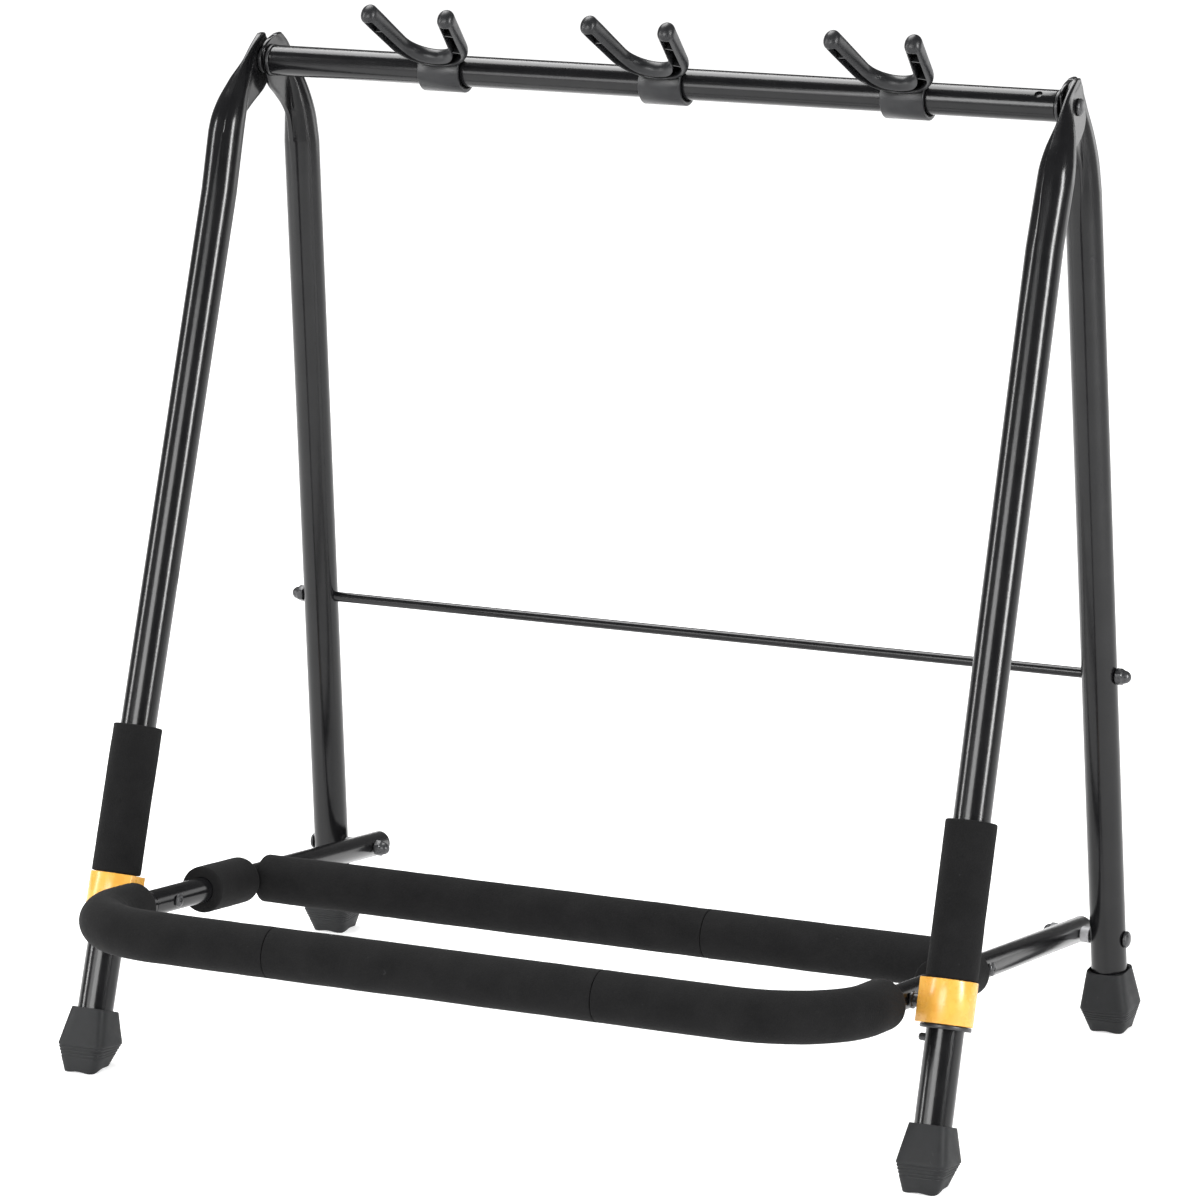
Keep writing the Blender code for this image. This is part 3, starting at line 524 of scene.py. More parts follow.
def neck_ring(level, outward, plate_x, tube_x, thin=1.0):
    """Level section of a neck: a plate that runs into what is left of the round tube.

    On both faces the same points lie on the plate, and one point on the fold.
    """
    rise, inner, outer, lobe_width, lobe_depth = level
    share = (lobe_depth - PLATE_HALF_THICKNESS) / (LEG_RADIUS - PLATE_HALF_THICKNESS)
    spread_x = FRONT_NECK_SPREAD * min(1, 2.5 * share) if outward < 0 else 0.0
    lobe_x = plate_x + (tube_x - plate_x) * share + (spread_x if plate_x > 0 else -spread_x)
    middle = (inner + outer) / 2
    half = (outer - inner) / 2
    lobe_middle = outer - lobe_width
    half_count = LEG_SEGMENTS // 2
    on_plate = round(half_count * 0.3)
    least = inner + half * (1 - cos(pi * on_plate / half_count))
    sides = []
    for face in (1, -1):
        height = min(lobe_depth, max(0, PLATE_HALF_THICKNESS + face * (plate_x - lobe_x)))
        fold = lobe_middle - lobe_width * (1 - (height / lobe_depth) ** 2) ** 0.5
        fold = max(fold, least)
        first = acos(max(-1, min(1, (lobe_middle - fold) / lobe_width)))
        points = []
        for i in range(half_count):
            step = i + 0.5
            if step < on_plate:
                v = inner + (fold - inner) * (1 - cos(pi / 2 * step / on_plate))
            else:
                turn = first + (pi - first) * (step - on_plate) / (half_count - on_plate)
                v = lobe_middle - lobe_width * cos(turn)
            flat = min(1, abs((v - middle) / half))
            plate = thin * PLATE_HALF_THICKNESS * (1 - flat ** 12) ** 0.5
            beyond = 1 - ((v - lobe_middle) / lobe_width) ** 2
            lobe = thin * lobe_depth * max(0, beyond) ** 0.5
            x = face * soft_max(face * plate_x + plate, face * lobe_x + lobe, 0.0006)
            points.append(Vector((x, PIVOT_Y + outward * v, PIVOT_Z + rise)))
        sides.append(points)
    quarter = LEG_SEGMENTS // 4
    if outward > 0:
        ring = sides[1] + list(reversed(sides[0]))
    else:
        ring = list(reversed(sides[1])) + sides[0]
    return ring[-quarter:] + ring[:-quarter]


def smooth_rows(rows, steps):
    """Rows with smoothly curved rows in between."""
    result = []
    last = len(rows) - 1
    for i in range(last):
        around = (rows[max(i - 1, 0)], rows[i], rows[i + 1], rows[min(i + 2, last)])
        for k in range(steps):
            t = k / steps
            row = []
            for p, q, r, s in zip(*around):
                curve = (2 * p - 5 * q + 4 * r - s) * t ** 2 + (3 * q - p - 3 * r + s) * t ** 3
                row.append((2 * q + (r - p) * t + curve) / 2)
            result.append(row)
    result.append(list(rows[-1]))
    return result


def make_leg(node, leg, side, plate_x, neck):
    """Tube with an open end below and a neck pressed to a plate above."""
    top, down = leg_axis(leg, side)
    end_s = leg_length(leg) - TUBE_END_RISE
    rings = [tube_ring(top + down * s, down, LEG_RADIUS - WALL) for s in (BORE_TOP, end_s)]
    for s in (end_s, 0.45, 0.3, 0.2, 0.12, ROUND_TOP):
        rings.append(tube_ring(top + down * s, down, LEG_RADIUS))
    outward = 1 if leg["top"][1] > 0 else -1
    for level in smooth_rows(neck, 8):
        tube_x = side * leg["top"][0] - level[0] * down.x
        rings.append(neck_ring(level, outward, side * plate_x, tube_x))
    last = list(neck[-1])
    for rise, thin in ((0.0004, 0.85), (0.0006, 0.5)):
        level = [last[0] + rise, last[1] + rise, last[2] - rise, last[3], last[4]]
        rings.append(neck_ring(level, outward, side * plate_x, side * leg["top"][0], thin))
    return place(loft(node + "_tube", rings), node, "black_steel")


def square_ring(center, a, b, half, exponent, sag=0.0):
    """Points of a rounded square; exponent 2 is a circle; sag lifts the middles of its sides."""
    ring = []
    for i in range(LEG_SEGMENTS):
        turn = 2 * pi * (i + 0.5) / LEG_SEGMENTS
        c = cos(turn)
        s = sin(turn)
        radius = half / (abs(c) ** exponent + abs(s) ** exponent) ** (1 / exponent)
        lift = Z_AXIS * sag * cos(2 * turn) ** 2
        ring.append(center + a * radius * c + b * radius * s + lift)
    return ring


def make_foot(node, leg, side, height):
    """Rubber foot: recessed socket, flared sides, fine grooves and an arched sole."""
    top, down = leg_axis(leg, side)
    length = leg_length(leg)
    square_y = down.cross(X_AXIS).normalized()
    square_x = square_y.cross(down).normalized()
    square_y = square_y * (-1 if square_y.y < 0 else 1)
    lean_y = (square_y + Y_AXIS).normalized()
    head = top + down * (length - height)
    wide = top + down * (length - FOOT_WIDE_RISE)
    floor = top + down * length
    socket = LEG_RADIUS + GAP
    rings = [
        square_ring(top + down * (length - TUBE_END_RISE + GAP), square_x, square_y, socket, 2),
        square_ring(head + down * 0.0016, square_x, square_y, socket, 2),
        square_ring(head + down * 0.0004, square_x, square_y, socket + 0.0005, 2),
        square_ring(head, square_x, square_y, socket + 0.0007, 2.2),
        square_ring(head, square_x, square_y, FOOT_TOP_HALF - 0.0004, 4),
        square_ring(head + down * 0.0002, square_x, square_y, FOOT_TOP_HALF, 4),
    ]
    for k in range(1, 12):
        t = k / 12
        way_x = square_x.lerp(X_AXIS, t)
        way_y = square_y.lerp(lean_y, t)
        half = FOOT_TOP_HALF + (FOOT_WIDE_HALF - FOOT_TOP_HALF) * t
        rings.append(square_ring(head.lerp(wide, t), way_x, way_y, half, 4 + 2 * t))
    rings.append(square_ring(wide, X_AXIS, lean_y, FOOT_WIDE_HALF, 6))
    steps = 48
    for k in range(1, steps):
        t = k / steps
        rise = FOOT_WIDE_RISE * (1 - t)
        half = FOOT_WIDE_HALF + (FOOT_SOLE_HALF - FOOT_WIDE_HALF) * t
        for groove in FOOT_GROOVES:
            half -= 0.00035 * max(0, 1 - ((rise - groove) / 0.00055) ** 2)
        way_y = lean_y.lerp(Y_AXIS, t)
        rings.append(square_ring(wide.lerp(floor, t), X_AXIS, way_y, half, 6 - t, 0.0009 * t ** 4))
    rings.append(square_ring(floor, X_AXIS, Y_AXIS, FOOT_SOLE_HALF - 0.0002, 5, 0.0009))
    rings.append(square_ring(floor, X_AXIS, Y_AXIS, FOOT_SOLE_HALF - 0.0030, 5))
    return place(loft(node + "_rubber", rings), node, "black_rubber")


# ---- fasteners ----

def cross_recess(obj, center, axis):
    """Sink a cross recess into a screw head; center lies on the head's top."""
    a, b = across(axis)
    slots = []
    for long_way, short_way in ((a, b), (b, a)):
        rings = []
        for depth, half_length in ((0.0015, 0.0010), (-0.0010, 0.0026)):
            spot = center - axis * depth
            corners = ((1, 1), (-1, 1), (-1, -1), (1, -1))
            rings.append([spot + long_way * half_length * p + short_way * 0.00042 * q
                          for p, q in corners])
        slots.append(loft(obj.name + "_slot_" + str(len(slots)), rings))
    return combine(obj, slots, "DIFFERENCE", 30)


def hexagon_ring(center, axis, apothem, segments):
    """Points of a hexagon."""
    a, b = across(axis)
    ring = []
    for i in range(segments):
        turn = 2 * pi * (i + 0.5) / segments
        bend = (turn + pi / 6) % (pi / 3) - pi / 6
        radius = apothem / cos(bend)
        ring.append(center + a * radius * cos(turn) + b * radius * sin(turn))
    return ring


def acorn_nut(node, origin, axis, face):
    """Domed hexagon nut with chamfered corners."""
    bore = BOLT_RADIUS + GAP
    round_half = NUT_HALF_WIDTH * 1.10
    segments = 48

    def chamfered(along, limit):
        center = origin + axis * (face + along)
        sides = hexagon_ring(center, axis, NUT_HALF_WIDTH, segments)
        return [center + (p - center) * min(1, limit / (p - center).length) for p in sides]

    rings = [
        circle(origin + axis * (face + NUT_BORE_DEPTH), axis, bore, segments),
        circle(origin + axis * face, axis, bore, segments),
        chamfered(0.0, round_half - 0.0006),
        chamfered(0.0004, round_half),
        chamfered(0.0036, round_half),
        chamfered(0.0042, round_half - 0.0007),
        circle(origin + axis * (face + 0.0045), axis, 0.0043, segments),
    ]
    for k in range(1, 9):
        turn = pi / 2 * k / 9
        along = face + 0.0047 + 0.0045 * sin(turn)
        rings.append(circle(origin + axis * along, axis, 0.0041 * cos(turn), segments))
    return place(loft(node + "_turned", rings), node, "black_zinc")


def domed_head(radius, base, height, edge):
    """Profile of a domed head from its underside to near its top."""
    profile = [(radius, base), (radius, base + edge)]
    for k in range(1, 8):
        turn = pi / 2 * k / 8
        profile.append((radius * cos(turn), base + edge + (height - edge) * sin(turn)))
    return profile


def domed_bolt(name, center, axis, radius, start, face, head):
    """A plain shank from start to face, and a domed head on the face."""
    profile = [(radius, start), (radius, face)] + domed_head(head[0], face, head[1], head[2])
    return turned(name, center, axis, profile, SMALL_SEGMENTS, False, 0.0002)


def cross_screw(node, center, axis, radius, start, face, head):
    """A domed screw with a cross recess in its head."""
    screw = domed_bolt(node + "_head", center, axis, radius, start, face, head)
    cross_recess(screw, center + axis * (face + head[1]), axis)
    place(screw, node, "black_zinc")


# ---- frame ----

def make_frame():
    """Top bar and its plugs, legs, hinge bolts and the brace rod."""
    bar = tube("top_bar_tube", PIVOT, X_AXIS, BAR_RADIUS, BAR_RADIUS - WALL,
               -BAR_HALF_LENGTH, BAR_HALF_LENGTH, 96)
    hole_way = Vector((0, -cos(radians(52)), sin(radians(52))))
    hole_center = PIVOT + X_AXIS * BAR_HOLE[0] + hole_way * BAR_RADIUS
    drill = turned("bar_drill", hole_center, hole_way,
                   [(BAR_HOLE[1], -0.003), (BAR_HOLE[1], 0.003)], SMALL_SEGMENTS)
    combine(bar, [drill], "DIFFERENCE")
    place(bar, "top_bar", "black_steel")
    bolt_bore = PIVOT_BOLT_RADIUS + GAP
    plug_end = BAR_HALF_LENGTH - PLUG_DEPTH
    inside = BAR_RADIUS - WALL - GAP
    lip = BAR_RADIUS + PLUG_LIP
    flange = (BAR_HALF_LENGTH + GAP, REAR_PLATE_X - PLATE_HALF_THICKNESS - GAP)
    washer = (REAR_PLATE_X + PLATE_HALF_THICKNESS + GAP, FRONT_PLATE_X - PLATE_HALF_THICKNESS - GAP)
    bolt_face = FRONT_PLATE_X + PLATE_HALF_THICKNESS + GAP
    for word, side in SIDES:
        out = X_AXIS * side
        node = "bar_plug_" + word
        place(turned(node + "_moulded", PIVOT, out, [
            (bolt_bore, plug_end), (inside, plug_end), (inside, flange[0]), (lip, flange[0]),
            (lip, flange[1]), (bolt_bore, flange[1]),
        ], SEGMENTS, True), node, "black_plastic")
        make_leg("rear_leg_" + word, REAR_LEG, side, REAR_PLATE_X, REAR_NECK)
        make_leg("front_leg_" + word, FRONT_LEG, side, FRONT_PLATE_X, FRONT_NECK)
        node = "hinge_washer_" + word
        place(tube(node + "_ring", PIVOT, out, WASHER_RADIUS, bolt_bore, washer[0], washer[1],
                   SMALL_SEGMENTS), node, "black_plastic")
        node = "hinge_bolt_" + word
        place(domed_bolt(node + "_domed", PIVOT, out, PIVOT_BOLT_RADIUS,
                         BAR_HALF_LENGTH - PIVOT_BOLT_DEPTH, bolt_face, PIVOT_HEAD), node, "black_zinc")
    top, down = leg_axis(REAR_LEG, 1)
    rod = top + down * ROD_S
    nut_face = rod.x + LEG_RADIUS + GAP
    rod_mid = Vector((0, rod.y, rod.z))
    rod_end = nut_face + ROD_THREAD
    place(turned("brace_rod_bar", rod_mid, X_AXIS, [
        (BOLT_RADIUS, -rod_end), (BOLT_RADIUS, -nut_face), (ROD_RADIUS, -nut_face + 0.001),
        (ROD_RADIUS, nut_face - 0.001), (BOLT_RADIUS, nut_face), (BOLT_RADIUS, rod_end),
    ]), "brace_rod", "black_steel")
    for word, side in SIDES:
        acorn_nut("brace_nut_" + word, rod_mid, X_AXIS * side, nut_face)
        make_foot("foot_rear_" + word, REAR_LEG, side, FOOT_TOP_RISE[1])
        make_foot("foot_front_" + word, FRONT_LEG, side, FOOT_TOP_RISE[0])


def make_lock(word, side):
    """Stop pin, inner sleeve, grip and yellow collar on a front leg."""
    top, down = leg_axis(FRONT_LEG, side)
    inward = (X_AXIS * -side - down * down.dot(X_AXIS * -side)).normalized()
    node = "stop_pin_" + word
    place(turned(node + "_domed", top + down * STOP_PIN_S, inward, [
        (STOP_PIN_RADIUS, 0.0088), (STOP_PIN_RADIUS, 0.0142), (0.0019, 0.0152), (0.0009, 0.0156),
    ], 24), node, "black_zinc")
    bore = LEG_RADIUS + GAP
    node = "lock_sleeve_" + word
    place(turned(node + "_moulded", top, down, [
        (bore, GRIP_S[0]), (LOCK_SLEEVE_RADIUS, GRIP_S[0]), (LOCK_SLEEVE_RADIUS, RIM_S[0]),
        (RIM_RADIUS, RIM_S[0]), (RIM_RADIUS, RIM_S[1]), (bore, RIM_S[1]),
    ], SEGMENTS, True, 0.0006), node, "black_plastic")
    node = "leg_grip_" + word
    path = [(top + down * s, down) for s in foam_stops(GRIP_S[0], GRIP_S[1])]
    beside = down.cross(inward).normalized()
    grip = foam_tube(node + "_foam", path, inward, beside, GRIP_RADIUS, LOCK_SLEEVE_RADIUS + GAP,
                     (0.0012, 0.0010), 11 + side)
    place(grip, node, "black_foam")
    make_collar("lock_collar_" + word, top, down, inward)


def make_collar(node, top, down, inward):
    """Yellow collar: round outside, drawn to a flat nose towards the rail."""
    beside = down.cross(inward).normalized()
    nose, half_nose = COLLAR_NOSE
    corners = []
    arc_steps = 40
    for i in range(arc_steps + 1):
        turn = -COLLAR_ROUND + 2 * COLLAR_ROUND * i / arc_steps
        corners.append((-COLLAR_RADIUS * cos(turn), COLLAR_RADIUS * sin(turn)))
    for b in (half_nose - 0.0002, 0.002, -0.002, -half_nose + 0.0002):
        corners.append((nose, b))
    outline = softened(corners, 0.0009, True)
    inner = LOCK_SLEEVE_RADIUS + GAP
    turns = [atan2(b, a) for a, b in outline]
    bore = [(inner * cos(turn), inner * sin(turn)) for turn in turns]

    def placed(points, s, inset=0.0):
        ring = []
        for a, b in points:
            scale = 1 - inset / (a * a + b * b) ** 0.5
            ring.append(top + down * s + inward * a * scale + beside * b * scale)
        return ring

    edge = 0.0005
    rings = [
        placed(bore, COLLAR_S[0]), placed(outline, COLLAR_S[0], edge),
        placed(outline, COLLAR_S[0] + edge * 0.3, edge * 0.3), placed(outline, COLLAR_S[0] + edge),
        placed(outline, COLLAR_S[1] - edge), placed(outline, COLLAR_S[1] - edge * 0.3, edge * 0.3),
        placed(outline, COLLAR_S[1], edge), placed(bore, COLLAR_S[1]),
    ]
    place(loft(node + "_moulded", rings, True, 40), node, "yellow_plastic")


# ---- foam ----

def foam_stops(start, end, pitch=0.002):
    """Evenly spaced distances from start to end, closer at both ends."""
    count = max(4, round((end - start) / pitch))
    stops = [start + (end - start) * k / count for k in range(count + 1)]
    near = [start + 0.0002, start + 0.0005, start + 0.0009, start + 0.0014]
    far = [end - 0.0014, end - 0.0009, end - 0.0005, end - 0.0002]
    inner = [s for s in stops if start + 0.0017 < s < end - 0.0017]
    return [start] + near + inner + far + [end]


def foam_tube(name, path, side_way, up_way, radius, bore, edges, seed, bend=None):
    """Foam along a path. edges are the roundings at both ends; bend marks where it is folded.

    side_way and up_way are directions for a straight path; a path with a third entry per
    point carries its own side direction.
    """
    along = [0.0]
    for before, here in zip(path, path[1:]):
        along.append(along[-1] + (here[0] - before[0]).length)
    total = along[-1]
    outside = []
    inside = []
    for (spot, _, *own), distance in zip(path, along):
        side = own[0] if own else side_way
        drop = 0.0
        for edge, left in zip(edges, (distance, total - distance)):
            if left < edge:
                drop = edge - (edge * edge - (edge - left) ** 2) ** 0.5
        ring = []
        for i in range(SEGMENTS):
            turn = 2 * pi * (i + 0.5) / SEGMENTS
            way_out = side * cos(turn) + up_way * sin(turn)
            place_on = spot + way_out * radius
            swell = noise.noise(place_on * 38 + Vector((seed, 0, 0))) * 0.00022
            swell += noise.noise(place_on * 120 + Vector((0, seed, 0))) * 0.00008
            if bend:
                swell += bend(distance, cos(turn), sin(turn), place_on)
            fade = min(1, distance / 0.003, (total - distance) / 0.003)
            ring.append(spot + way_out * (radius - drop + swell * fade))
        outside.append(ring)
        inside.append(round_ring(spot, side, up_way, bore, SEGMENTS))
    return loft(name, outside + list(reversed(inside)), True, 50)


def straight_foam(node, u, low_x, high_x, radius, edges, seed):
    """Foam on a straight cradle bar."""
    middle = HINGE + RAIL_FORWARD * u
    path = [(middle + X_AXIS * x, X_AXIS) for x in foam_stops(low_x, high_x)]
    made = foam_tube(node + "_foam", path, RAIL_FORWARD, RAIL_UP, radius, FOAM_BORE, edges, seed)
    place(made, node, "black_foam")


def corner_path(side, stops):
    """Points, tangents and outward directions along a rail, its bend and the front bar."""
    center = rail_point(side, FRONT_BAR_U - CORNER_RADIUS) - X_AXIS * side * CORNER_RADIUS
    straight = FRONT_BAR_U - CORNER_RADIUS
    arc = CORNER_RADIUS * pi / 2
    out = X_AXIS * side
    path = []
    for stop in stops:
        if stop <= straight:
            path.append((rail_point(side, stop), RAIL_FORWARD, out))
        elif stop < straight + arc:
            turn = (stop - straight) / CORNER_RADIUS
            way_out = out * cos(turn) + RAIL_FORWARD * sin(turn)
            path.append((center + way_out * CORNER_RADIUS, RAIL_FORWARD * cos(turn) - out * sin(turn),
                         way_out))
        else:
            far = stop - straight - arc
            spot = center + RAIL_FORWARD * CORNER_RADIUS - out * far
            path.append((spot, out * -1, RAIL_FORWARD))
    return path


def make_corner_foam(node, side, seed):
    """Foam round a front corner, with small creases on the inside of the bend."""
    straight = FRONT_BAR_U - CORNER_RADIUS
    arc = CORNER_RADIUS * pi / 2
    end = straight + arc + RAIL_X - CORNER_RADIUS - FRONT_SEAM_X - GAP / 2
    stops = foam_stops(CORNER_FOAM_U, end, 0.0013)

    def creases(distance, outward, upward, spot):
        here = (CORNER_FOAM_U + distance - straight) / arc
        window = max(0, 1 - (2 * here - 1) ** 2)
        inner = max(0, -outward) ** 1.5
        wave = noise.noise(Vector((distance * 210, seed, 0)))
        wave += 0.6 * noise.noise(spot * 160 + Vector((0, 0, seed)))
        outer = max(0, outward)
        flat = 0.0002 * outer * noise.noise(Vector((distance * 90, upward, seed)))
        return window * (inner * (0.0006 * wave - 0.0002) + flat)

    path = corner_path(side, stops)
    made = foam_tube(node + "_foam", path, X_AXIS, RAIL_UP, FRONT_FOAM_RADIUS, FOAM_BORE,
                     (0.0022, 0.0007), seed, creases)
    place(made, node, "black_foam")


# ---- cradle ----

def make_cradle():
    """Front tube, rails, cross tube, foam and fasteners."""
    straight = FRONT_BAR_U - CORNER_RADIUS
    arc = CORNER_RADIUS * pi / 2
    half = straight + arc + RAIL_X - CORNER_RADIUS
    stops = [SPIGOT_END_U, RAIL_FRONT_U, RAIL_FRONT_U + GAP]
    radii = [SPIGOT_RADIUS, SPIGOT_RADIUS, RAIL_RADIUS - 0.0004]
    bends = 24
    plain = [RAIL_FRONT_U + GAP + 0.0004]
    plain += [straight + arc * k / bends for k in range(bends + 1)] + [half]
    stops += plain
    radii += [RAIL_RADIUS] * len(plain)
    right = corner_path(1, stops)
    left = [(spot, way * -1, out) for spot, way, out in reversed(corner_path(-1, stops)[:-1])]
    outer = []
    inner = []
    for (spot, _, out), radius in zip(right + left, radii + list(reversed(radii[:-1]))):
        outer.append(round_ring(spot, out, RAIL_UP, radius, SEGMENTS))
        inner.append(round_ring(spot, out, RAIL_UP, SPIGOT_RADIUS - WALL, SEGMENTS))
    front = loft("cradle_front_tube_bent", outer + list(reversed(inner)), True)
    place(front, "cradle_front_tube", "black_steel")

    for word, side in SIDES:
        node = "cradle_rail_" + word
        place(tube(node + "_tube", rail_point(side, 0), RAIL_FORWARD, RAIL_RADIUS, RAIL_RADIUS - WALL,
                   RAIL_REAR_U, RAIL_FRONT_U), node, "black_steel")
        node = "rail_plug_" + word
        start = -RAIL_REAR_U
        place(turned(node + "_moulded", rail_point(side, 0), RAIL_FORWARD * -1, [
            (RAIL_RADIUS - WALL - GAP, start - 0.009), (RAIL_RADIUS - WALL - GAP, start + GAP),
            (RAIL_RADIUS, start + GAP), (RAIL_RADIUS, start + 0.0016),
            (RAIL_RADIUS - 0.0016, start + 0.0030), (0.001, start + 0.0031),
        ], SEGMENTS, False, 0.0009), node, "grey_plastic", "black_plastic")
        node = "rail_foam_" + word
        path = [(rail_point(side, u), RAIL_FORWARD) for u in foam_stops(*SLEEVE_U)]
        sleeve = foam_tube(node + "_foam", path, X_AXIS, RAIL_UP, SLEEVE_RADIUS, FOAM_BORE,
                           (0.0016, 0.0016), 5 + side)
        place(sleeve, node, "black_foam")
        make_corner_foam("corner_foam_" + word, side, 3.7 * side)
        make_rail_fittings(word, side)
    seam = FRONT_SEAM_X - GAP / 2
    straight_foam("front_foam", FRONT_BAR_U, -seam, seam, FRONT_FOAM_RADIUS, (0.0007, 0.0007), 8.1)
    tube_end = RAIL_X - RAIL_RADIUS - GAP
    place(tube("cross_tube_steel", HINGE + RAIL_FORWARD * REAR_BAR_U, X_AXIS, RAIL_RADIUS,
               RAIL_RADIUS - WALL, -tube_end, tube_end), "cross_tube", "black_steel")
    foam_end = tube_end - 0.0004
    straight_foam("rear_foam_left", REAR_BAR_U, -foam_end, REAR_SEAM_X - GAP / 2, REAR_FOAM_RADIUS,
                  (0.0022, 0.0007), 12.4)
    straight_foam("rear_foam_right", REAR_BAR_U, REAR_SEAM_X + GAP / 2, foam_end, REAR_FOAM_RADIUS,
                  (0.0007, 0.0022), 15.2)


def make_rail_fittings(word, side):
    """Hinge bolt, nut and spacer of a rail, its screws and its latch stud."""
    out = X_AXIS * side
    outer_face = HINGE_LEG_X + LEG_RADIUS + GAP
    inner_face = HINGE_LEG_X - LEG_RADIUS - GAP
    rail_outer = RAIL_X + RAIL_RADIUS + GAP
    nut_face = RAIL_X - RAIL_RADIUS - GAP
    node = "hinge_spacer_" + word
    place(tube(node + "_ring", HINGE, out, SPACER[0], SPACER[1], rail_outer, inner_face,
               SMALL_SEGMENTS), node, "grey_plastic", "pale_nylon")
    node = "cradle_bolt_" + word
    place(domed_bolt(node + "_domed", HINGE, out, BOLT_RADIUS, nut_face - BOLT_THREAD, outer_face,
                     CRADLE_HEAD), node, "black_zinc")
    acorn_nut("cradle_nut_" + word, HINGE, out * -1, -nut_face)

    middle = HINGE + RAIL_FORWARD * REAR_BAR_U
    radius, depth = CROSS_SCREW
    node = "cross_insert_" + word
    place(tube(node + "_moulded", middle, out, RAIL_RADIUS - WALL - GAP, radius + GAP,
               nut_face - INSERT_DEPTH, nut_face - GAP, SMALL_SEGMENTS), node, "grey_plastic")
    cross_screw("cross_screw_" + word, middle, out, radius, nut_face - depth, rail_outer, CROSS_HEAD)
    join = HINGE + RAIL_FORWARD * JOIN_SCREW_U
    radius, depth = JOIN_SCREW
    cross_screw("join_screw_" + word, join, out * -1, radius, -nut_face - depth, -nut_face, JOIN_HEAD)

    node = "latch_stud_" + word
    radius, thickness = STUD_FLANGE
    head, reach = STUD_HEAD
    place(turned(node + "_turned", HINGE + RAIL_FORWARD * STUD_U, out, [
        (STUD_RADIUS, RAIL_X + RAIL_RADIUS - 0.0009), (STUD_RADIUS, rail_outer),
        (radius, rail_outer), (radius, rail_outer + thickness), (head, rail_outer + thickness),
        (head, rail_outer + reach), (head - 0.0006, rail_outer + reach + 0.0006),
    ], SMALL_SEGMENTS, False, 0.0003), node, "black_zinc")


# ---- yokes ----

ARC_END = pi / 2 - HOOK_ARM_LEAN
ARC_HALF = HOOK_RADIUS * ARC_END
ARC_TOP_V = HOOK_BASE + HOOK_RADIUS - HOOK_RADIUS * cos(ARC_END)
ARM_LENGTH = (HOOK_TIP - ARC_TOP_V) / cos(HOOK_ARM_LEAN)
TIP_LENGTH = ARC_HALF + 1.03 * ARM_LENGTH
ARM_RIB = ARC_HALF + 0.62 * ARM_LENGTH
ROOT_RIB = HOOK_RADIUS * radians(77)
WEDGE_END = HOOK_RADIUS * radians(38)
RIB_HALF = 0.0006
TIP_REACH = 0.0046


def hook_line(distance):
    """Point (x, v) and direction of the hook's middle line, from its lowest point."""
    side = 1 if distance >= 0 else -1
    far = abs(distance)
    if far <= ARC_HALF:
        turn = far / HOOK_RADIUS
        spot = (side * HOOK_RADIUS * sin(turn), HOOK_BASE + HOOK_RADIUS * (1 - cos(turn)))
        return spot, (cos(turn), side * sin(turn))
    along = far - ARC_HALF
    x = HOOK_RADIUS * sin(ARC_END) + along * sin(HOOK_ARM_LEAN)
    v = ARC_TOP_V + along * cos(HOOK_ARM_LEAN)
    return (side * x, v), (sin(HOOK_ARM_LEAN), side * cos(HOOK_ARM_LEAN))


def pocket_at(far, ribs):
    """Half width and depth of the channel under the hook at a distance from its middle."""
    if far > TIP_LENGTH:
        return 0.0004, 0.0
    width = POCKET_HALF_WIDTH
    if far < ROOT_RIB:
        share = min(1, max(0, (far - WEDGE_END + 0.003) / (ROOT_RIB - WEDGE_END)))
        width = SLOT_HALF_WIDTH + (POCKET_HALF_WIDTH - SLOT_HALF_WIDTH) * share
    near_tip = TIP_LENGTH - far
    if near_tip < 0.0012:
        width *= (1 - (1 - near_tip / 0.0012) ** 2) ** 0.5
        width = max(width, 0.0004)
    for rib in ribs:
        if abs(far - rib) < RIB_HALF:
            return width, 0.0009
    return width, POCKET_DEPTH * min(1, 0.8 + 0.2 * far / TIP_LENGTH)


def hook_section(distance, shrink=1.0):
    """Section of the hook: rounded outside, with the channel sunk into its underside."""
    far = min(abs(distance), TIP_LENGTH)
    root = min(1, max(0, (0.0560 - far) / 0.0353))
    half_a = HOOK_HALF_WIDTH * (1 + HOOK_GROWTH[0] * root) * shrink
    half_b = HOOK_HALF_DEPTH * (1 + HOOK_GROWTH[1] * root) * shrink
    ribs = (ARM_RIB, ROOT_RIB) if distance > 0 else (ARM_RIB,)
    width, depth = pocket_at(abs(distance), ribs)
    width = min(width, half_a * 0.7)
    if shrink < 1:
        depth = 0.0
    start = -(1 - (width / half_a) ** 2.3) ** (1 / 2.3) * half_b
    begin = atan2(start / half_b, width / half_a)
    points = []
    count = 44
    for i in range(count + 1):
        turn = begin + (2 * (pi / 2 - begin)) * i / count
        c = cos(turn)
        s = sin(turn)
        exponent = 2.0 if s > 0 else 2.3
        radius = 1 / (abs(c) ** exponent + abs(s) ** exponent) ** (1 / exponent)
        points.append((half_a * radius * c, half_b * radius * s))
    left, low = points[-1]
    right = points[0][0]
    inner = 0.0002 if depth else 0.0
    wall = [(inner, min(depth, 0.0003)), (inner, depth * 0.5), (inner, depth * 0.93),
            ((right - left) * 0.12 + inner, depth)]
    points += [(left + a, low + b) for a, b in wall]
    points.append((left + (right - left) * 0.5, low + depth))
    points += [(right - a, low + b) for a, b in reversed(wall)]
    return points


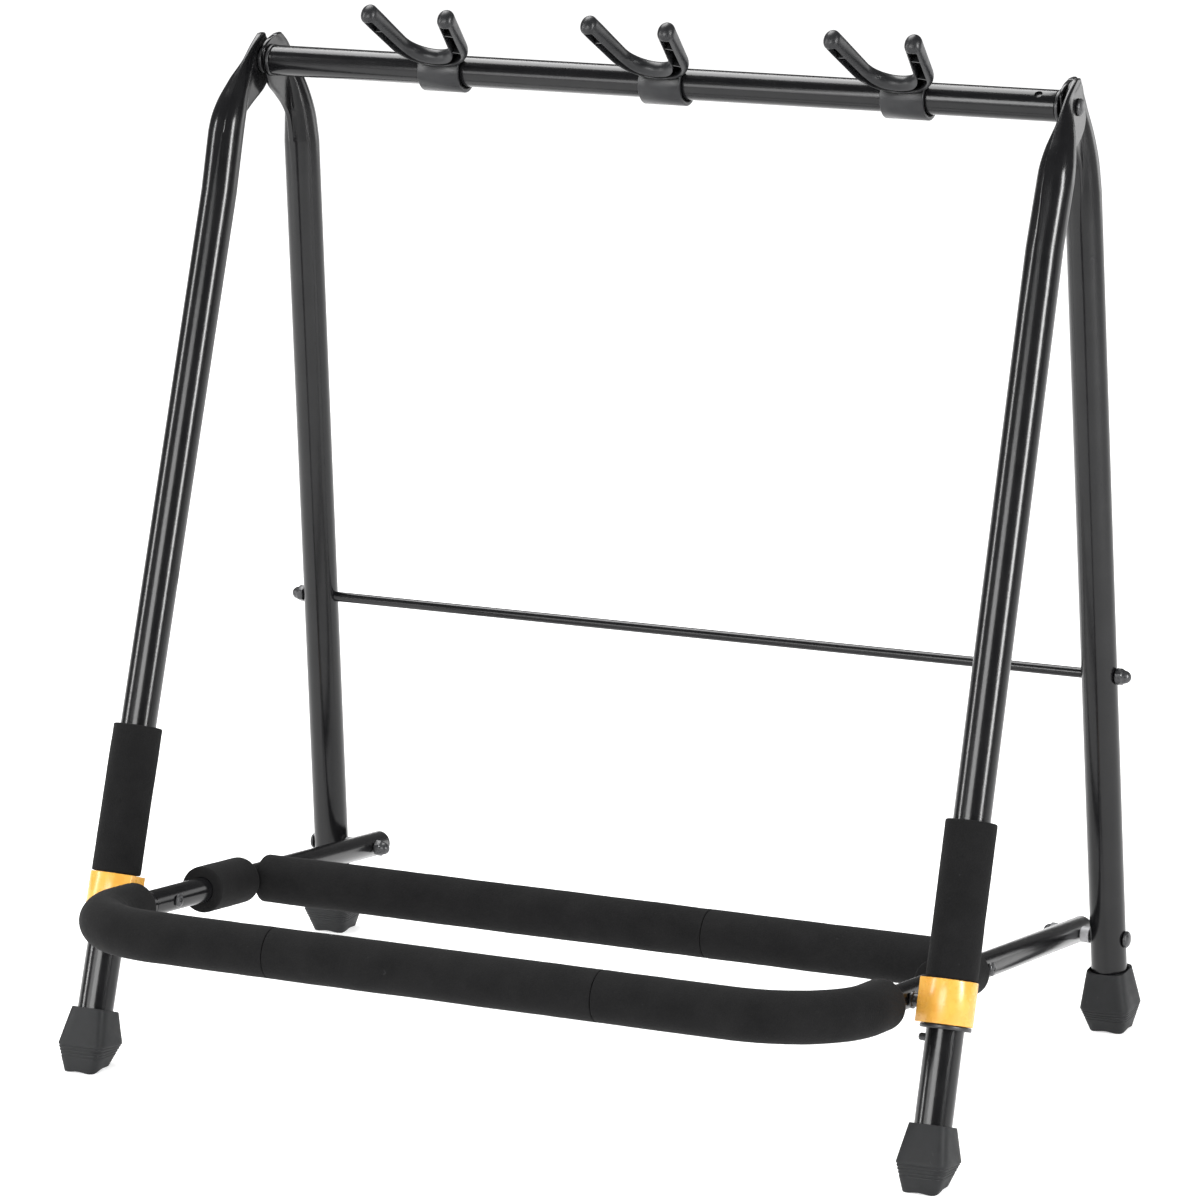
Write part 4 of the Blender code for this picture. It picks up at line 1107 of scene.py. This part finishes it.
def hook_stops():
    """Distances of the hook's sections from its middle, each with its share of the full size."""
    count = 60
    stops = {round(TIP_LENGTH * k / count, 6) for k in range(-count, count + 1)}
    marks = [TIP_LENGTH - near for near in (0.0001, 0.0003, 0.0006, 0.0012, -0.0001)]
    for rib in (ARM_RIB, ROOT_RIB):
        for edge in (rib - RIB_HALF, rib + RIB_HALF):
            marks += [edge - 0.0001, edge + 0.0001]
    for mark in marks:
        stops.add(round(mark, 6))
        stops.add(-round(mark, 6))
    tip = []
    tip_steps = 9
    for k in range(1, tip_steps + 1):
        turn = pi / 2 * k / (tip_steps + 0.6)
        tip.append((TIP_LENGTH + 0.0001 + TIP_REACH * sin(turn), cos(turn)))
    near_end = [(-far, share) for far, share in reversed(tip)]
    return near_end + [(stop, 1.0) for stop in sorted(stops)] + tip


def make_yoke(node, x, twist, lean):
    """Clip round the bar joined to a hook with a ribbed channel under it."""
    straight = Vector((0, -cos(HOOK_TILT), sin(HOOK_TILT)))
    over = Vector((0, sin(HOOK_TILT), cos(HOOK_TILT)))
    up = over * cos(twist) + X_AXIS * sin(twist)
    beam = X_AXIS * cos(twist) - over * sin(twist)
    out = straight * cos(lean) + beam * sin(lean)
    wide = beam * cos(lean) - straight * sin(lean)
    base = PIVOT + X_AXIS * x
    rings = []
    for distance, shrink in hook_stops():
        (a, v), (way_a, way_v) = hook_line(distance)
        spot = base + wide * a + out * v
        way = wide * way_a + out * way_v
        beside = way.cross(up).normalized()
        rings.append([spot + beside * p + up * q for p, q in hook_section(distance, shrink)])
    hook = loft(node + "_moulded", rings, False, 40)
    combine(hook, [make_clip(node + "_clip", base)], "UNION", 40)
    return place(hook, node, "grey_plastic")


def make_clip(name, base):
    """C-shaped band that snaps round the bar and is open behind."""
    inner = BAR_RADIUS + 0.0010
    outer = BAR_RADIUS + GAP + CLIP_THICKNESS
    start = radians(62)
    end = radians(-138)
    steps = 48

    def profile(inset):
        low = inner + inset
        high = outer - inset
        trim = inset / outer
        points = []
        for radius, order in ((high, range(steps + 1)), (low, range(steps, -1, -1))):
            for i in order:
                turn = start - trim + (end - start + 2 * trim) * i / steps
                near = min(i, steps - i)
                round_off = 0.0007 if near == 0 else 0.0
                r = radius - round_off if radius == high else radius + round_off
                points.append(Vector((0, -cos(turn) * r, sin(turn) * r)))
        return points

    rings = []
    for x, inset in ((-1, 0.0006), (-0.985, 0.0002), (-0.965, 0), (0.965, 0), (0.985, 0.0002),
                     (1, 0.0006)):
        rings.append([base + X_AXIS * x * CLIP_HALF_WIDTH + point for point in profile(inset)])
    return loft(name, rings)


# ---- studio ----

def area_light(name, spot, target, width, height, power):
    """A soft rectangular light that the camera doesn't see."""
    data = bpy.data.lights.new(name, "AREA")
    data.shape = "RECTANGLE"
    data.size = width
    data.size_y = height
    data.energy = power
    obj = bpy.data.objects.new(name, data)
    obj.location = spot
    obj.rotation_mode = "QUATERNION"
    obj.rotation_quaternion = (Vector(target) - Vector(spot)).to_track_quat("-Z", "Y")
    obj.visible_camera = False
    bpy.context.scene.collection.objects.link(obj)
    return obj


def make_studio():
    """Pale floor, soft lights and the camera. Far off the floor glows a little, so it stays pale."""
    floor_mesh = bpy.data.meshes.new("studio_floor")
    bm = bmesh.new()
    bmesh.ops.create_circle(bm, cap_ends=True, segments=96, radius=FLOOR_RADIUS)
    bm.to_mesh(floor_mesh)
    bm.free()
    floor = bpy.data.objects.new("studio_floor", floor_mesh)
    floor.location = (0, 0, -0.0002)
    bpy.context.scene.collection.objects.link(floor)
    made, shader, coords = new_material("pale_floor")
    cloud = noise_node(made, coords, 2, 2)
    made.node_tree.links.new(ramp(made, cloud, 0.3, 0.7, (0.78, 0.78, 0.78), (0.80, 0.80, 0.80)),
                             shader.inputs["Base Color"])
    preset(shader, {"Roughness": 0.9, "Specular IOR Level": 0.1, "Emission Color": (1, 1, 1, 1)})
    far = made.node_tree.nodes.new("ShaderNodeVectorMath")
    far.operation = "LENGTH"
    made.node_tree.links.new(coords, far.inputs[0])
    made.node_tree.links.new(spread(made, far.outputs["Value"], 1.5, 6.0, 0.52, 0.95),
                             shader.inputs["Emission Strength"])
    floor_mesh.materials.append(made)

    world = bpy.data.worlds.new("studio")
    bpy.context.scene.world = world
    world.use_nodes = True
    background = world.node_tree.nodes["Background"]
    preset(background, {"Color": (1, 1, 1, 1), "Strength": 0.17})

    for light in LIGHTS:
        area_light(*light)
    make_camera()


def make_camera():
    """The photograph's viewing angle."""
    scene = bpy.context.scene
    scene.view_settings.view_transform = "Standard"
    azimuth = radians(25.9522)
    elevation = radians(14.2433)
    roll = radians(-1.095)
    look = Vector((-sin(azimuth) * cos(elevation), cos(azimuth) * cos(elevation), -sin(elevation)))
    right = Vector((cos(azimuth), sin(azimuth), 0))
    up = right.cross(look)
    turned_right = right * cos(roll) + up * sin(roll)
    turned_up = up * cos(roll) - right * sin(roll)
    target = Vector((-0.04397, PIVOT_Y, PIVOT_Z - 0.32759))
    distance = 3.65473
    data = bpy.data.cameras.new("camera")
    data.sensor_width = 36
    data.lens = 176.13
    data.clip_end = 100
    camera = bpy.data.objects.new("camera", data)
    turn = Matrix((turned_right, turned_up, look * -1)).transposed()
    camera.matrix_world = Matrix.Translation(target - look * distance) @ turn.to_4x4()
    scene.collection.objects.link(camera)
    scene.camera = camera


make_studio()
make_frame()
for side_word, side_sign in SIDES:
    make_lock(side_word, side_sign)
make_cradle()
for yoke_word, yoke_x, twist_degrees, lean_degrees in YOKES:
    make_yoke("yoke_" + yoke_word, yoke_x, radians(twist_degrees), radians(lean_degrees))

bpy.context.view_layer.update()
